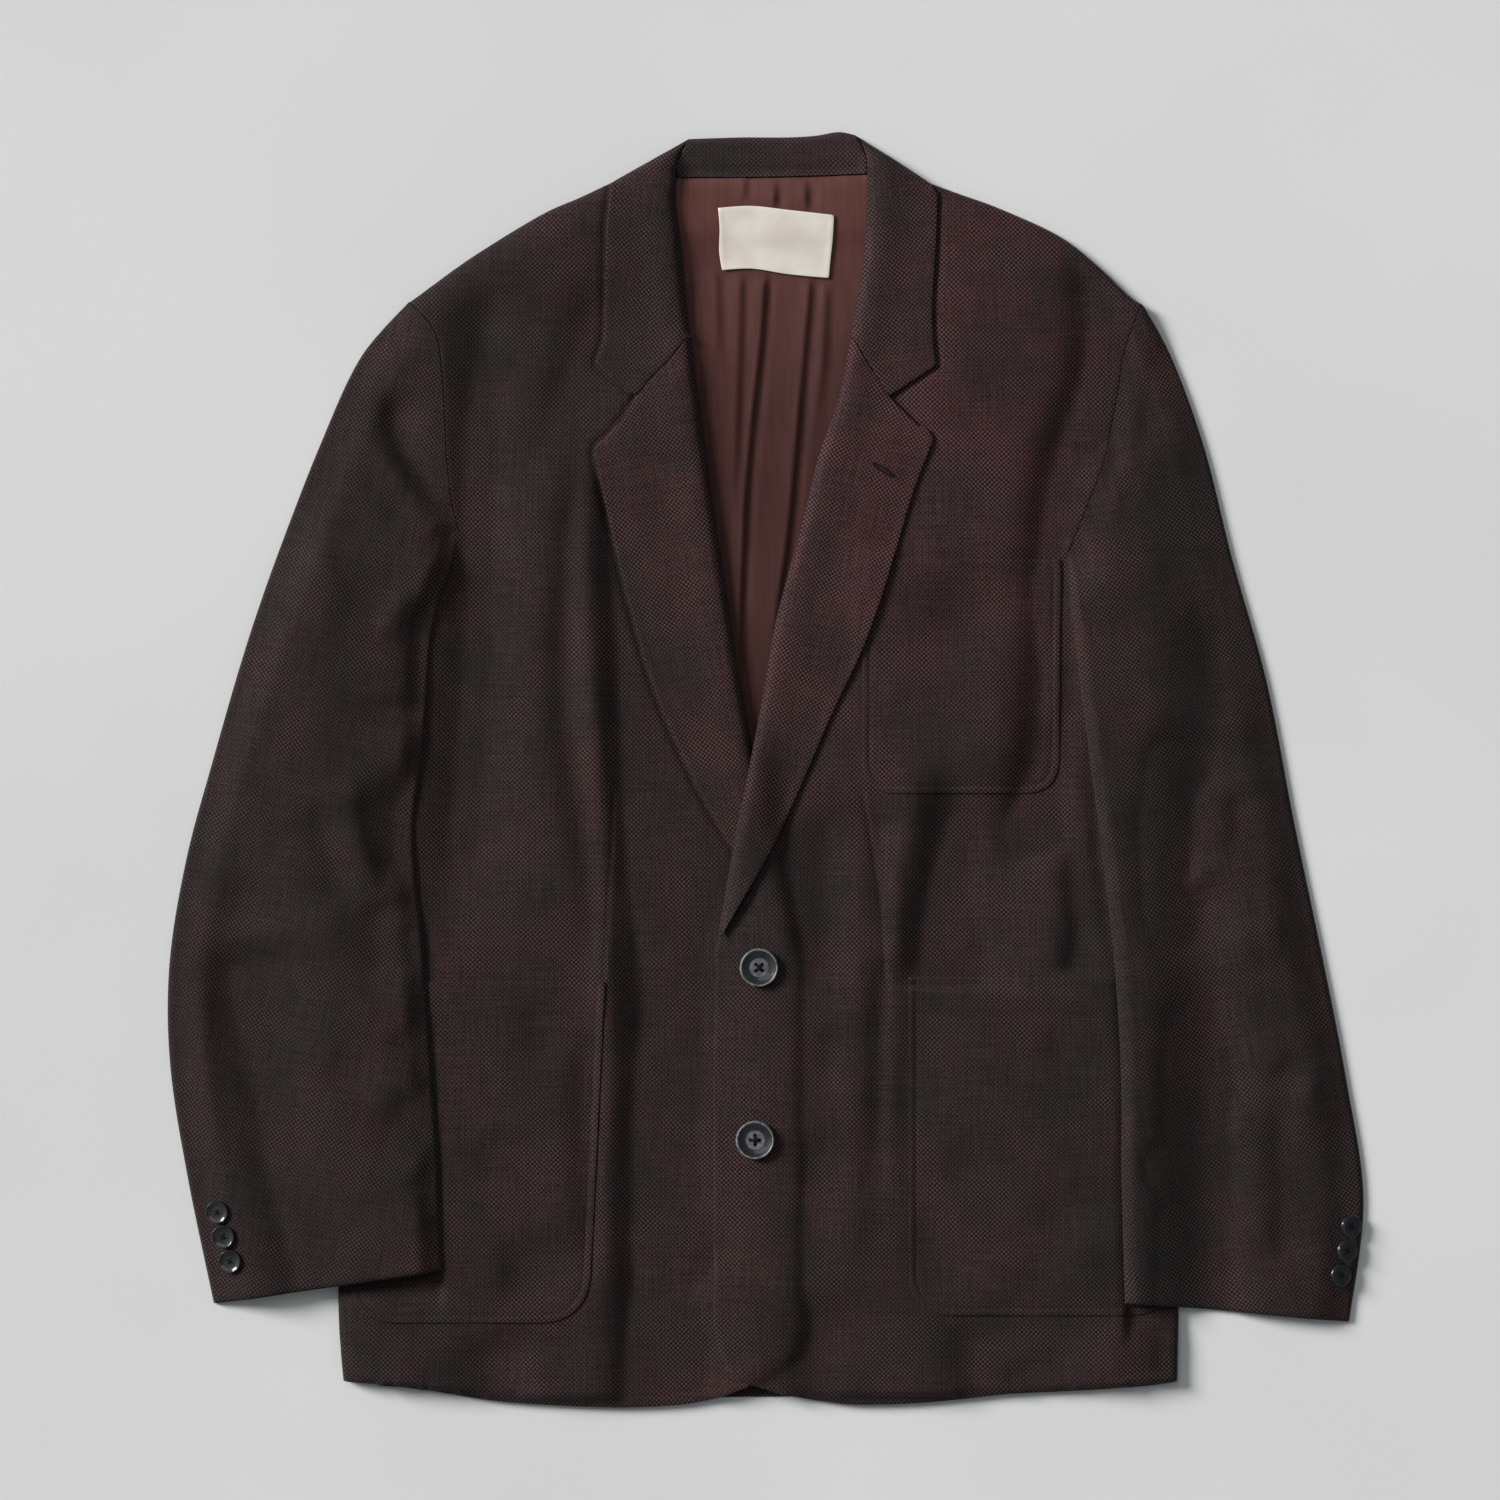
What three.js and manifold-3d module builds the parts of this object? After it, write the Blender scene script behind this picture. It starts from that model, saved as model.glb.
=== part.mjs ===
// A single-breasted linen jacket laid flat on its back, sleeves down, collar towards +Y.
// Millimetres, +Z up. The underside rests on z = 0. "left" and "right" are the wearer's:
// the wearer's right sleeve points to -X. The left front closes over the right one.
//
// The pieces of the body are sheets of cloth on one shared lattice of points. Each sheet
// is lifted clear of the sheets that it lies on at the lattice points, and is then cut to
// its outline, so sheets that follow each other stay a seam gap apart. The sleeves are
// lofted through stations from the armhole to the cuff.

import * as THREE from 'three';
import { mergeVertices } from 'three/addons/utils/BufferGeometryUtils.js';
import Module from 'manifold-3d';

const wasm = await Module();
wasm.setup();

// ---------------------------------------------------------------- driving dimensions

const seamGap = 0.3;
const wall = {
  back: 2.0, lining: 1.0, label: 1.0, front: 2.4, lapel: 2.4, collar: 2.4, pocket: 1.6,
};
const sleeveWall = { under: 1.6, top: 1.6 };
const turnWall = 2.0; // thickness of the cloth where a collar or lapel turns over
const collarFallWall = 1.6;
const bodyHollow = 3.0; // air between the back and the fronts
const sleeveHollow = 3.4; // air between the two halves of a sleeve
const bodyEdgeRound = 24; // width over which the fronts come down to the side folds
const sleeveEdgeRound = 10;
const foldFreeEdge = 20; // the folds fade out towards a sleeve's turned edges
const frontButton = { radius: 11.8, thickness: 3.4, rim: 2.4, dish: 1.0, hole: 1.1, pitch: 2.3 };
const cuffButton = { radius: 7.0, thickness: 2.6, rim: 1.5, dish: 0.7, hole: 0.75, pitch: 1.4 };
const cutHeight = { low: -10, high: 50 }; // reach of the cutting prisms

// Lattices: the body's, and a finer one across for the pleated lining and its label.
const bodyLattice = { fromX: -280, toX: 280, stepX: 14, fromY: -418, toY: 418, stepY: 22 };
const liningLattice = { fromX: -90, toX: 90, stepX: 6, fromY: -110, toY: 374, stepY: 22 };

// ---------------------------------------------------------------- outlines, x and y

const rollLeft = curve([
  [54.5, 385.5], [61, 372], [61.5, 345], [59, 308], [53, 271], [44, 226], [32, 190],
  [21, 146], [6, 90], [-4, 34], [-9, 8], [-15, -22], [-20.5, -50], [-30.5, -109],
], 52);
const rollRight = curve([
  [-47.5, 383], [-54, 369], [-55, 348], [-52.5, 325], [-46.4, 263], [-40, 214], [-34, 168],
  [-24, 104], [-17.5, 61], [-8.5, 10], [4, -50], [17, -109],
], 46);
const gorgeLeft = [[52, 264], [75, 226.5]];
const gorgeRight = [[-46.6, 264], [-60.5, 247.5], [-71.5, 236.5], [-78.5, 227]];

const lapelLeftPoint = [[92, 209], [98.5, 206.5], [101.8, 201]];
const lapelLeftEdge = curve([
  [101, 197], [91, 171.5], [82, 142], [71.5, 107.5], [59, 72.5], [39.5, 31], [9, -38.5],
  [-14.6, -81], [-27.5, -103],
], 24);
const lapelRightPoint = [[-86.5, 213.5], [-97, 201.5], [-103.5, 196.5]];
const lapelRightEdge = curve([
  [-104.6, 191], [-101, 174], [-95.5, 151], [-85.5, 109], [-68.5, 50.5], [-50, 6],
  [-32.5, -28], [-8, -68], [13, -104],
], 24);

const collarLeafLeft = curve([
  [103.7, 245.2], [101.8, 262], [101.3, 281], [102.5, 302], [104, 328], [104.5, 349],
], 10);
const collarLeafRight = curve([
  [-103.7, 247], [-98.6, 262], [-97.8, 282], [-97.4, 308], [-96.6, 334], [-94, 356],
], 10);
const collarTop = curve([
  [-47, 384], [-16, 385], [12, 385], [30, 386], [44, 388.3], [54, 386.5],
], 14);
const neckSideLeft = [[54, 386.5], [78, 371.5], [100, 357]];
const neckSideRight = [[-47, 384], [-70, 371], [-93, 358]];
const fallEdge = curve([[104, 347], [62, 334], [2, 329], [-56, 333], [-97, 347]], 14);
const neckSeam = [[62, 362.5], [15, 361], [-16, 360.5], [-54, 360.5]];

const shoulderLeft = curve([
  [100, 357], [117, 350.8], [142.7, 341.5], [179.3, 324.5], [204, 305], [221, 288.5],
  [229.4, 283],
], 14);
const shoulderRight = curve([
  [-93, 358], [-113.5, 348.3], [-138, 337.3], [-180.6, 311.1], [-213, 287.5], [-217.8, 284.3],
], 14);
const armholeLeft = new THREE.SplineCurve(vectors([
  [229.4, 283], [219.5, 256], [214, 224], [206.5, 188], [195, 157], [183.6, 128.7],
]));
const armholeRight = new THREE.SplineCurve(vectors([
  [-217.8, 284.3], [-201.5, 265], [-197, 233], [-195.2, 195], [-192.2, 163], [-187.3, 144],
]));
const underarmLeft = curve([[183.6, 128.7], [206, 122], [232, 112], [252, 94], [256, 70]], 8);
const underarmRight = curve([[-187.3, 144], [-211, 136], [-238, 124], [-257, 106], [-262, 80]], 8);
const sideLeft = curve([
  [256, 70], [254.5, -60], [253, -200], [252, -320], [251, -374],
], 10);
const sideRight = curve([
  [-262, 80], [-260.5, -60], [-262, -220], [-261, -330], [-258, -374],
], 10);
const hemLeft = curve([
  [251, -374], [233, -377], [191, -380], [149, -382], [117, -385.5], [86, -388], [54, -388.5],
  [39, -387], [18, -383.8], [1, -379], [-9, -375.8],
], 26);
const cornerLeft = curve([[-9, -375.8], [-20, -370], [-27, -359], [-31.7, -340]], 10);
const cornerRight = curve([[-24, -382.6], [-8.5, -376], [9, -365], [18, -352], [21.4, -334]], 12);
const hemRight = curve([
  [-258, -374], [-235, -376.5], [-202, -380.5], [-167, -386], [-128, -389], [-90, -390.3],
  [-57, -389], [-38, -386.3], [-24, -382.6],
], 22);
const backHem = curve([
  [251, -374], [191, -378], [117, -382], [0, -384], [-128, -385], [-202, -379], [-258, -374],
], 20);

// Patch pockets, with rounded lower corners.
const chestPocketOutline = pocketOutline({
  left: 58.5, right: 180, top: 127, bottom: -15.5, lean: -1.5, round: 21,
});
const pocketLeftOutline = pocketOutline({
  left: 87, right: 249, top: -127.5, bottom: -333.5, lean: 0, round: 27,
});
const pocketRightOutline = pocketOutline({
  left: -254, right: -98, top: -130, bottom: -338, lean: -11, round: 30,
});
const labelOutline = [[-29.3, 341.6], [41.5, 337.3], [38.4, 298.9], [-26.8, 303.8]];
const liningMargin = 14; // how far the lining runs on under the fronts
const gorgeTopY = 264; // where collar and lapel meet on the roll line
const lapelEndY = -103; // where a lapel's edge runs into the front edge

// ---------------------------------------------------------------- folds
// A fold runs from one point through the pull of a second to a third. half is the
// distance over which it fades out to each side; rise is its height, negative in a trough.

const frontFolds = [
  // wearer's right front
  { fromX: -184, fromY: 310, viaX: -202, viaY: 150, toX: -176, toY: -60, half: 18, rise: -2.2 },
  { fromX: -98, fromY: 318, viaX: -112, viaY: 276, toX: -134, toY: 220, half: 22, rise: -1.8 },
  { fromX: -98, fromY: 200, viaX: -90, viaY: 60, toX: -82, toY: -90, half: 20, rise: -2.4 },
  { fromX: -84, fromY: -50, viaX: -72, viaY: -200, toX: -92, toY: -430, half: 20, rise: -2.7 },
  { fromX: -108, fromY: -40, viaX: -100, viaY: -180, toX: -112, toY: -360, half: 16, rise: 0.8 },
  { fromX: -150, fromY: 190, viaX: -146, viaY: 60, toX: -152, toY: -110, half: 26, rise: 0.8 },
  { fromX: -130, fromY: 130, viaX: -126, viaY: 60, toX: -131, toY: -10, half: 15, rise: -1.4 },
  { fromX: -48, fromY: -60, viaX: -44, viaY: -200, toX: -52, toY: -400, half: 24, rise: 0.8 },
  { fromX: -168, fromY: -300, viaX: -172, viaY: -352, toX: -168, toY: -420, half: 18, rise: -1.6 },
  // wearer's left front
  { fromX: 194, fromY: 330, viaX: 197, viaY: 260, toX: 186, toY: 170, half: 20, rise: -2.4 },
  { fromX: 168, fromY: 215, viaX: 158, viaY: 80, toX: 154, toY: -78, half: 19, rise: -2.5 },
  { fromX: 188, fromY: 86, viaX: 194, viaY: 10, toX: 200, toY: -60, half: 16, rise: -2.0 },
  { fromX: 106, fromY: 8, viaX: 97, viaY: -70, toX: 89, toY: -150, half: 20, rise: -2.3 },
  { fromX: 130, fromY: 180, viaX: 128, viaY: 60, toX: 126, toY: -110, half: 24, rise: 0.8 },
  { fromX: 60, fromY: -70, viaX: 52, viaY: -200, toX: 56, toY: -380, half: 24, rise: 0.8 },
  { fromX: 24, fromY: -300, viaX: 22, viaY: -350, toX: 25, toY: -420, half: 18, rise: -1.8 },
  { fromX: 116, fromY: -335, viaX: 112, viaY: -365, toX: 114, toY: -420, half: 20, rise: -1.6 },
];

const sleeveFolds = [
  // wearer's right sleeve
  { fromX: -228, fromY: 70, viaX: -212, viaY: 20, toX: -232, toY: -40, half: 22, rise: -2.6 },
  { fromX: -334, fromY: -100, viaX: -330, viaY: -200, toX: -290, toY: -290, half: 24, rise: -2.6 },
  { fromX: -280, fromY: 170, viaX: -258, viaY: 60, toX: -268, toY: -120, half: 30, rise: 0.4 },
  { fromX: -262, fromY: -150, viaX: -240, viaY: -220, toX: -246, toY: -330, half: 22, rise: -1.6 },
  // wearer's left sleeve
  { fromX: 250, fromY: 160, viaX: 276, viaY: 70, toX: 234, toY: -20, half: 26, rise: -2.4 },
  { fromX: 230, fromY: -10, viaX: 240, viaY: -150, toX: 254, toY: -345, half: 24, rise: -2.8 },
  { fromX: 290, fromY: 60, viaX: 292, viaY: -80, toX: 300, toY: -220, half: 26, rise: 0.4 },
  { fromX: 336, fromY: -220, viaX: 330, viaY: -250, toX: 338, toY: -300, half: 16, rise: -1.8 },
];

const pleats = [
  { fromX: -2, fromY: 330, viaX: -3, viaY: 230, toX: -16, toY: 70, half: 9, rise: 2.0 },
  { fromX: 26, fromY: 330, viaX: 22, viaY: 225, toX: 10, toY: 140, half: 8, rise: 1.8 },
  { fromX: -30, fromY: 310, viaX: -28, viaY: 230, toX: -22, toY: 150, half: 8, rise: 1.0 },
];

// ---------------------------------------------------------------- sleeve stations
// outer and inner are the two folded edges of the sleeve. bend says how much of the
// armhole's curve a station still has. The stations fan round the armpit.

const sleeveRightStations = [
  { outerX: -217.8, outerY: 284.3, innerX: -187.3, innerY: 144, bend: 1 },
  { outerX: -247.7, outerY: 250.7, innerX: -188.6, innerY: 138, bend: 0.8 },
  { outerX: -273.3, outerY: 195.2, innerX: -191.8, innerY: 122, bend: 0.5 },
  { outerX: -296.5, outerY: 134.8, innerX: -198.5, innerY: 102, bend: 0.3 },
  { outerX: -317.8, outerY: 73.2, innerX: -204, innerY: 72, bend: 0.1 },
  { outerX: -338.6, outerY: 2.4, innerX: -207.5, innerY: 16, bend: 0 },
  { outerX: -354.4, outerY: -56.7, innerX: -214, innerY: -40, bend: 0 },
  { outerX: -364.5, outerY: -120, innerX: -208.5, innerY: -104, bend: 0 },
  { outerX: -364, outerY: -182, innerX: -203.5, innerY: -172, bend: 0 },
  { outerX: -353, outerY: -252, innerX: -199, innerY: -240, bend: 0 },
  { outerX: -337.3, outerY: -327, innerX: -197, innerY: -305.6, bend: 0 },
];
const sleeveLeftStations = [
  { outerX: 229.4, outerY: 283, innerX: 183.6, innerY: 128.7, bend: 1 },
  { outerX: 248, outerY: 250, innerX: 185, innerY: 116, bend: 0.8 },
  { outerX: 267.8, outerY: 195.2, innerX: 187.2, innerY: 88, bend: 0.5 },
  { outerX: 285, outerY: 127, innerX: 191.5, innerY: 52, bend: 0.3 },
  { outerX: 306, outerY: 52, innerX: 198, innerY: 0, bend: 0.1 },
  { outerX: 323, outerY: -35, innerX: 204.5, innerY: -50, bend: 0 },
  { outerX: 340.4, outerY: -118, innerX: 211.5, innerY: -112, bend: 0 },
  { outerX: 354.4, outerY: -190, innerX: 216, innerY: -183, bend: 0 },
  { outerX: 365, outerY: -264, innerX: 216.5, innerY: -250, bend: 0 },
  { outerX: 356.2, outerY: -338, innerX: 218.4, innerY: -325.7, bend: 0 },
];
const stationCount = 20;
const acrossCount = 12;

// Where the sleeves lie on the body: the height of the body there, without and with a
// patch pocket, and how the sleeve comes down to the ground past the body's side.
const carry = { plain: 8.0, pocket: 10.2, pocketFromY: -76, pocketToY: -112, flat: 16, ramp: 30 };

// ---------------------------------------------------------------- buttons

const frontButtons = [
  { name: 'button_front_upper', x: -4.3, y: -121.4, turn: Math.PI / 4 },
  { name: 'button_front_lower', x: -6.7, y: -226.3, turn: 0 },
];
const cuffButtons = [
  { name: 'button_cuff_right_1', side: 'right', x: -334.3, y: -270.6, tilt: 0 },
  { name: 'button_cuff_right_2', side: 'right', x: -330.6, y: -285.6, tilt: 0 },
  { name: 'button_cuff_right_3', side: 'right', x: -326.3, y: -300.4, tilt: 0 },
  { name: 'button_cuff_left_1', side: 'left', x: 357.6, y: -279.4, tilt: 0.5 },
  { name: 'button_cuff_left_2', side: 'left', x: 355.4, y: -294.4, tilt: 0.46 },
  { name: 'button_cuff_left_3', side: 'left', x: 351.8, y: -309.2, tilt: 0.42 },
];

// ---------------------------------------------------------------- materials

const linen = new THREE.MeshStandardMaterial({ color: 0x3a2828, roughness: 0.9 });
const liningCloth = new THREE.MeshStandardMaterial({ color: 0x583a36, roughness: 0.6 });
const labelCloth = new THREE.MeshStandardMaterial({ color: 0xded6cb, roughness: 0.8 });
const horn = new THREE.MeshStandardMaterial({ color: 0x2c2b31, roughness: 0.35 });

// ---------------------------------------------------------------- plane geometry

function vectors(points) {
  return points.map(([x, y]) => new THREE.Vector2(x, y));
}

function curve(points, samples) {
  const spline = new THREE.SplineCurve(vectors(points));
  return spline.getPoints(samples).map((p) => [p.x, p.y]);
}

function pocketOutline({ left, right, top, bottom, lean, round }) {
  const shape = new THREE.Shape();
  shape.moveTo(left, top);
  shape.lineTo(left, bottom + round);
  shape.quadraticCurveTo(left, bottom, left + round, bottom);
  shape.lineTo(right + lean - round, bottom);
  shape.quadraticCurveTo(right + lean, bottom, right + lean * 0.8, bottom + round);
  shape.lineTo(right, top);
  return shape.getPoints(5).map((p) => [p.x, p.y]);
}

// The points of a line moved sideways: a positive distance is to the left of its run.
function offset(line, distance) {
  return line.map((point, k) => {
    const before = line[Math.max(k - 1, 0)];
    const after = line[Math.min(k + 1, line.length - 1)];
    const run = new THREE.Vector2(after[0] - before[0], after[1] - before[1]).normalize();
    return [point[0] - run.y * distance, point[1] + run.x * distance];
  });
}

function strip(line, from, to) {
  return [...offset(line, from), ...offset(line, to).reverse()];
}

function reversed(line) {
  return [...line].reverse();
}

function isInside(outline, x, y) {
  let inside = false;
  for (let k = 0, last = outline.length - 1; k < outline.length; last = k, k += 1) {
    const [ax, ay] = outline[k];
    const [bx, by] = outline[last];
    if ((ay > y) !== (by > y) && x < ((bx - ax) * (y - ay)) / (by - ay) + ax) {
      inside = !inside;
    }
  }
  return inside;
}

function distanceToLine(line, x, y) {
  let nearest = Infinity;
  for (let k = 0; k + 1 < line.length; k += 1) {
    const [ax, ay] = line[k];
    const [bx, by] = line[k + 1];
    const lengthSquared = (bx - ax) ** 2 + (by - ay) ** 2 || 1;
    const along = ((x - ax) * (bx - ax) + (y - ay) * (by - ay)) / lengthSquared;
    const t = THREE.MathUtils.clamp(along, 0, 1);
    nearest = Math.min(nearest, Math.hypot(x - ax - t * (bx - ax), y - ay - t * (by - ay)));
  }
  return nearest;
}

// A quarter ellipse: 0 at the edge, 1 from the distance round on.
function edgeRise(distance, round) {
  const q = 1 - THREE.MathUtils.clamp(distance / round, 0, 1);
  return Math.sqrt(1 - q * q);
}

function foldRelief(folds, x, y) {
  const steps = 30;
  const endShare = 0.22; // the share of a fold over which each end fades
  let relief = 0;
  for (const fold of folds) {
    let nearest = Infinity;
    let place = 0;
    for (let k = 0; k <= steps; k += 1) {
      const t = k / steps;
      const fx = (1 - t) ** 2 * fold.fromX + 2 * t * (1 - t) * fold.viaX + t * t * fold.toX;
      const fy = (1 - t) ** 2 * fold.fromY + 2 * t * (1 - t) * fold.viaY + t * t * fold.toY;
      const distance = Math.hypot(x - fx, y - fy);
      if (distance < nearest) {
        nearest = distance;
        place = t;
      }
    }
    if (nearest < fold.half) {
      const across = (Math.cos((Math.PI * nearest) / fold.half) + 1) / 2;
      const ends = THREE.MathUtils.smoothstep(Math.min(place, 1 - place), 0, endShare);
      relief += fold.rise * across * ends;
    }
  }
  return relief;
}

// ---------------------------------------------------------------- solids

function toManifold(geometry) {
  geometry.deleteAttribute('normal');
  geometry.deleteAttribute('uv');
  const merged = mergeVertices(geometry, 1e-4);
  const mesh = new wasm.Mesh({
    numProp: 3,
    vertProperties: new Float32Array(merged.attributes.position.array),
    triVerts: new Uint32Array(merged.index.array),
  });
  return new wasm.Manifold(mesh);
}

function toGeometry(solid) {
  const mesh = solid.simplify(0.01).getMesh();
  const geometry = new THREE.BufferGeometry();
  geometry.setAttribute('position', new THREE.BufferAttribute(mesh.vertProperties, 3));
  geometry.setIndex(new THREE.BufferAttribute(mesh.triVerts, 1));
  geometry.computeVertexNormals();
  return geometry;
}

function prism(outline) {
  const shape = new THREE.Shape(vectors(outline));
  const depth = cutHeight.high - cutHeight.low;
  const geometry = new THREE.ExtrudeGeometry(shape, { depth, bevelEnabled: false });
  geometry.translate(0, 0, cutHeight.low);
  return toManifold(geometry);
}

// A closed slab between two grids of points that have the same rows and columns.
function slab(top, bottom) {
  const rows = top.length;
  const columns = top[0].length;
  const positions = [];
  for (const grid of [top, bottom]) {
    for (const row of grid) {
      for (const point of row) {
        positions.push(...point);
      }
    }
  }
  const topAt = (row, column) => row * columns + column;
  const bottomAt = (row, column) => rows * columns + topAt(row, column);
  const faces = [];
  const quad = (a, b, c, d) => faces.push(a, b, c, a, c, d);
  for (let r = 0; r + 1 < rows; r += 1) {
    for (let c = 0; c + 1 < columns; c += 1) {
      quad(topAt(r, c), topAt(r, c + 1), topAt(r + 1, c + 1), topAt(r + 1, c));
      quad(bottomAt(r, c), bottomAt(r + 1, c), bottomAt(r + 1, c + 1), bottomAt(r, c + 1));
    }
    quad(topAt(r, 0), topAt(r + 1, 0), bottomAt(r + 1, 0), bottomAt(r, 0));
    const end = columns - 1;
    quad(topAt(r + 1, end), topAt(r, end), bottomAt(r, end), bottomAt(r + 1, end));
  }
  for (let c = 0; c + 1 < columns; c += 1) {
    const end = rows - 1;
    quad(topAt(0, c + 1), topAt(0, c), bottomAt(0, c), bottomAt(0, c + 1));
    quad(topAt(end, c), topAt(end, c + 1), bottomAt(end, c + 1), bottomAt(end, c));
  }
  const geometry = new THREE.BufferGeometry();
  geometry.setAttribute('position', new THREE.Float32BufferAttribute(positions, 3));
  geometry.setIndex(faces);
  return geometry;
}

// ---------------------------------------------------------------- sheets on a lattice

function latticeLines(from, to, step) {
  const count = Math.round((to - from) / step);
  return Array.from({ length: count + 1 }, (_, k) => from + k * step);
}

function makeLattice(size) {
  return {
    xs: latticeLines(size.fromX, size.toX, size.stepX),
    ys: latticeLines(size.fromY, size.toY, size.stepY),
    ...size,
  };
}

function fieldOf(lattice, height) {
  return lattice.ys.map((y) => lattice.xs.map((x) => height(x, y)));
}

// The lattice points of every cell that an outline touches, as rows of true and false.
function reachOf(lattice, outline) {
  const reach = lattice.ys.map(() => lattice.xs.map(() => false));
  const markCell = (x, y) => {
    const column = Math.floor((x - lattice.fromX) / lattice.stepX);
    const row = Math.floor((y - lattice.fromY) / lattice.stepY);
    for (const r of [row, row + 1]) {
      for (const c of [column, column + 1]) {
        if (reach[r] !== undefined && reach[r][c] !== undefined) {
          reach[r][c] = true;
        }
      }
    }
  };
  const loop = [...outline, outline[0]];
  for (let k = 0; k + 1 < loop.length; k += 1) {
    const steps = Math.ceil(Math.hypot(loop[k + 1][0] - loop[k][0], loop[k + 1][1] - loop[k][1]));
    for (let s = 0; s <= steps; s += 1) {
      const t = s / Math.max(steps, 1);
      markCell(
        loop[k][0] + t * (loop[k + 1][0] - loop[k][0]),
        loop[k][1] + t * (loop[k + 1][1] - loop[k][1]),
      );
    }
  }
  for (const y of lattice.ys) {
    for (const x of lattice.xs) {
      if (isInside(outline, x, y)) {
        markCell(x + 0.5, y + 0.5);
        markCell(x - 0.5, y - 0.5);
      }
    }
  }
  return reach;
}

// Raises a field to a seam gap above the layers that it lies on.
function liftOver(field, layers) {
  return field.map((row, r) => row.map((z, c) => {
    let lifted = z;
    for (const layer of layers) {
      if (layer.reach[r][c]) {
        lifted = Math.max(lifted, layer.top[r][c] + seamGap);
      }
    }
    return lifted;
  }));
}

function makeLayer(lattice, outline, thickness, height, layersBelow) {
  const bottom = liftOver(fieldOf(lattice, height), layersBelow);
  const top = bottom.map((row) => row.map((z) => z + thickness));
  return { lattice, outline, bottom, top, reach: reachOf(lattice, outline) };
}

// The solid between two fields within an outline.
function solidBetween(lattice, outline, bottom, top) {
  const xs = outline.map((point) => point[0]);
  const ys = outline.map((point) => point[1]);
  const window = (lines, low, high, step) => {
    const first = lines.findIndex((line) => line > low - step);
    const end = lines.findIndex((line) => line >= high);
    return [Math.max(first - 1, 0), (end < 0 ? lines.length - 1 : end) + 1];
  };
  const [c0, c1] = window(lattice.xs, Math.min(...xs), Math.max(...xs), lattice.stepX);
  const [r0, r1] = window(lattice.ys, Math.min(...ys), Math.max(...ys), lattice.stepY);
  const points = (field) => lattice.ys.slice(r0, r1).map((y, r) => (
    lattice.xs.slice(c0, c1).map((x, c) => [x, y, field[r0 + r][c0 + c]])
  ));
  return toManifold(slab(points(top), points(bottom))).intersect(prism(outline));
}

function layerSolid(layer) {
  return solidBetween(layer.lattice, layer.outline, layer.bottom, layer.top);
}

// The turned edge of a collar or lapel: cloth that stands between two heights in a strip.
function turnSolid(line, inward, layersBelow, top) {
  const bottom = liftOver(fieldOf(lattice, restingOnly), layersBelow);
  return solidBetween(lattice, strip(line, 0, inward), bottom, top);
}

// The height of a field at any point, from the four lattice points around it.
function heightAt(layer, field, x, y) {
  const { lattice } = layer;
  const column = THREE.MathUtils.clamp(
    Math.floor((x - lattice.fromX) / lattice.stepX), 0, lattice.xs.length - 2);
  const row = THREE.MathUtils.clamp(
    Math.floor((y - lattice.fromY) / lattice.stepY), 0, lattice.ys.length - 2);
  const u = (x - lattice.xs[column]) / lattice.stepX;
  const v = (y - lattice.ys[row]) / lattice.stepY;
  const low = field[row][column] * (1 - u) + field[row][column + 1] * u;
  const high = field[row + 1][column] * (1 - u) + field[row + 1][column + 1] * u;
  return low * (1 - v) + high * v;
}

// ---------------------------------------------------------------- the body's layers

const lattice = makeLattice(bodyLattice);
const fineLattice = makeLattice(liningLattice);
const acrossShares = Array.from(
  { length: acrossCount + 1 }, (_, k) => (1 - Math.cos((Math.PI * k) / acrossCount)) / 2);

function armholePoints(armhole) {
  return acrossShares.map((share) => armhole.getPoint(share)).map((p) => [p.x, p.y]);
}

const armholeLineLeft = armholePoints(armholeLeft);
const armholeLineRight = armholePoints(armholeRight);

const fallOutline = [
  ...reversed(neckSideRight), ...collarTop.slice(1), ...neckSideLeft.slice(1), ...fallEdge,
];
const backOutline = [
  ...shoulderRight, ...armholeLineRight.slice(1), ...underarmRight.slice(1),
  ...sideRight.slice(1), ...reversed(backHem).slice(1), ...reversed(sideLeft).slice(1),
  ...reversed(underarmLeft).slice(1), ...reversed(armholeLineLeft).slice(1),
  ...reversed(shoulderLeft).slice(1), ...reversed(neckSideLeft).slice(1, 2),
  [66, 368], ...neckSeam.map(([x, y]) => [x, y - 2]), [-58, 368],
  ...neckSideRight.slice(1, 2),
];
const frontLeftOutline = [
  ...rollLeft, [-32.3, -200], ...reversed(cornerLeft), ...reversed(hemLeft).slice(1),
  ...reversed(sideLeft).slice(1), ...reversed(underarmLeft).slice(1),
  ...reversed(armholeLineLeft).slice(1), ...reversed(shoulderLeft).slice(1),
  ...reversed(neckSideLeft).slice(1),
];
const frontRightOutline = [
  ...rollRight, [21.4, -130], ...reversed(cornerRight), ...reversed(hemRight).slice(1),
  ...reversed(sideRight).slice(1), ...reversed(underarmRight).slice(1),
  ...reversed(armholeLineRight).slice(1), ...reversed(shoulderRight).slice(1),
  ...reversed(neckSideRight).slice(1),
];

// The lining shows between the roll lines; it ends a little way under the fronts.
const rollIndex = (roll, y) => roll.findIndex((point) => point[1] < y);
const liningOutline = [
  ...offset(rollRight, -liningMargin).slice(rollIndex(rollRight, 352), rollIndex(rollRight, -20)),
  [2, -40],
  ...reversed(
    offset(rollLeft, liningMargin).slice(rollIndex(rollLeft, 354), rollIndex(rollLeft, -10)),
  ),
  ...neckSeam.map(([x, y]) => [x, y - seamGap]),
];

const bodyEdges = [sideLeft, sideRight, shoulderLeft, shoulderRight, neckSideLeft, neckSideRight];

function frontHeight(x, y) {
  const edges = bodyEdges.map((line) => distanceToLine(line, x, y));
  const inward = isInside(backOutline, x, y) ? Math.min(...edges) : 0;
  const rise = edgeRise(inward, bodyEdgeRound);
  return wall.back + seamGap + bodyHollow * rise + foldRelief(frontFolds, x, y) * rise;
}

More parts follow.
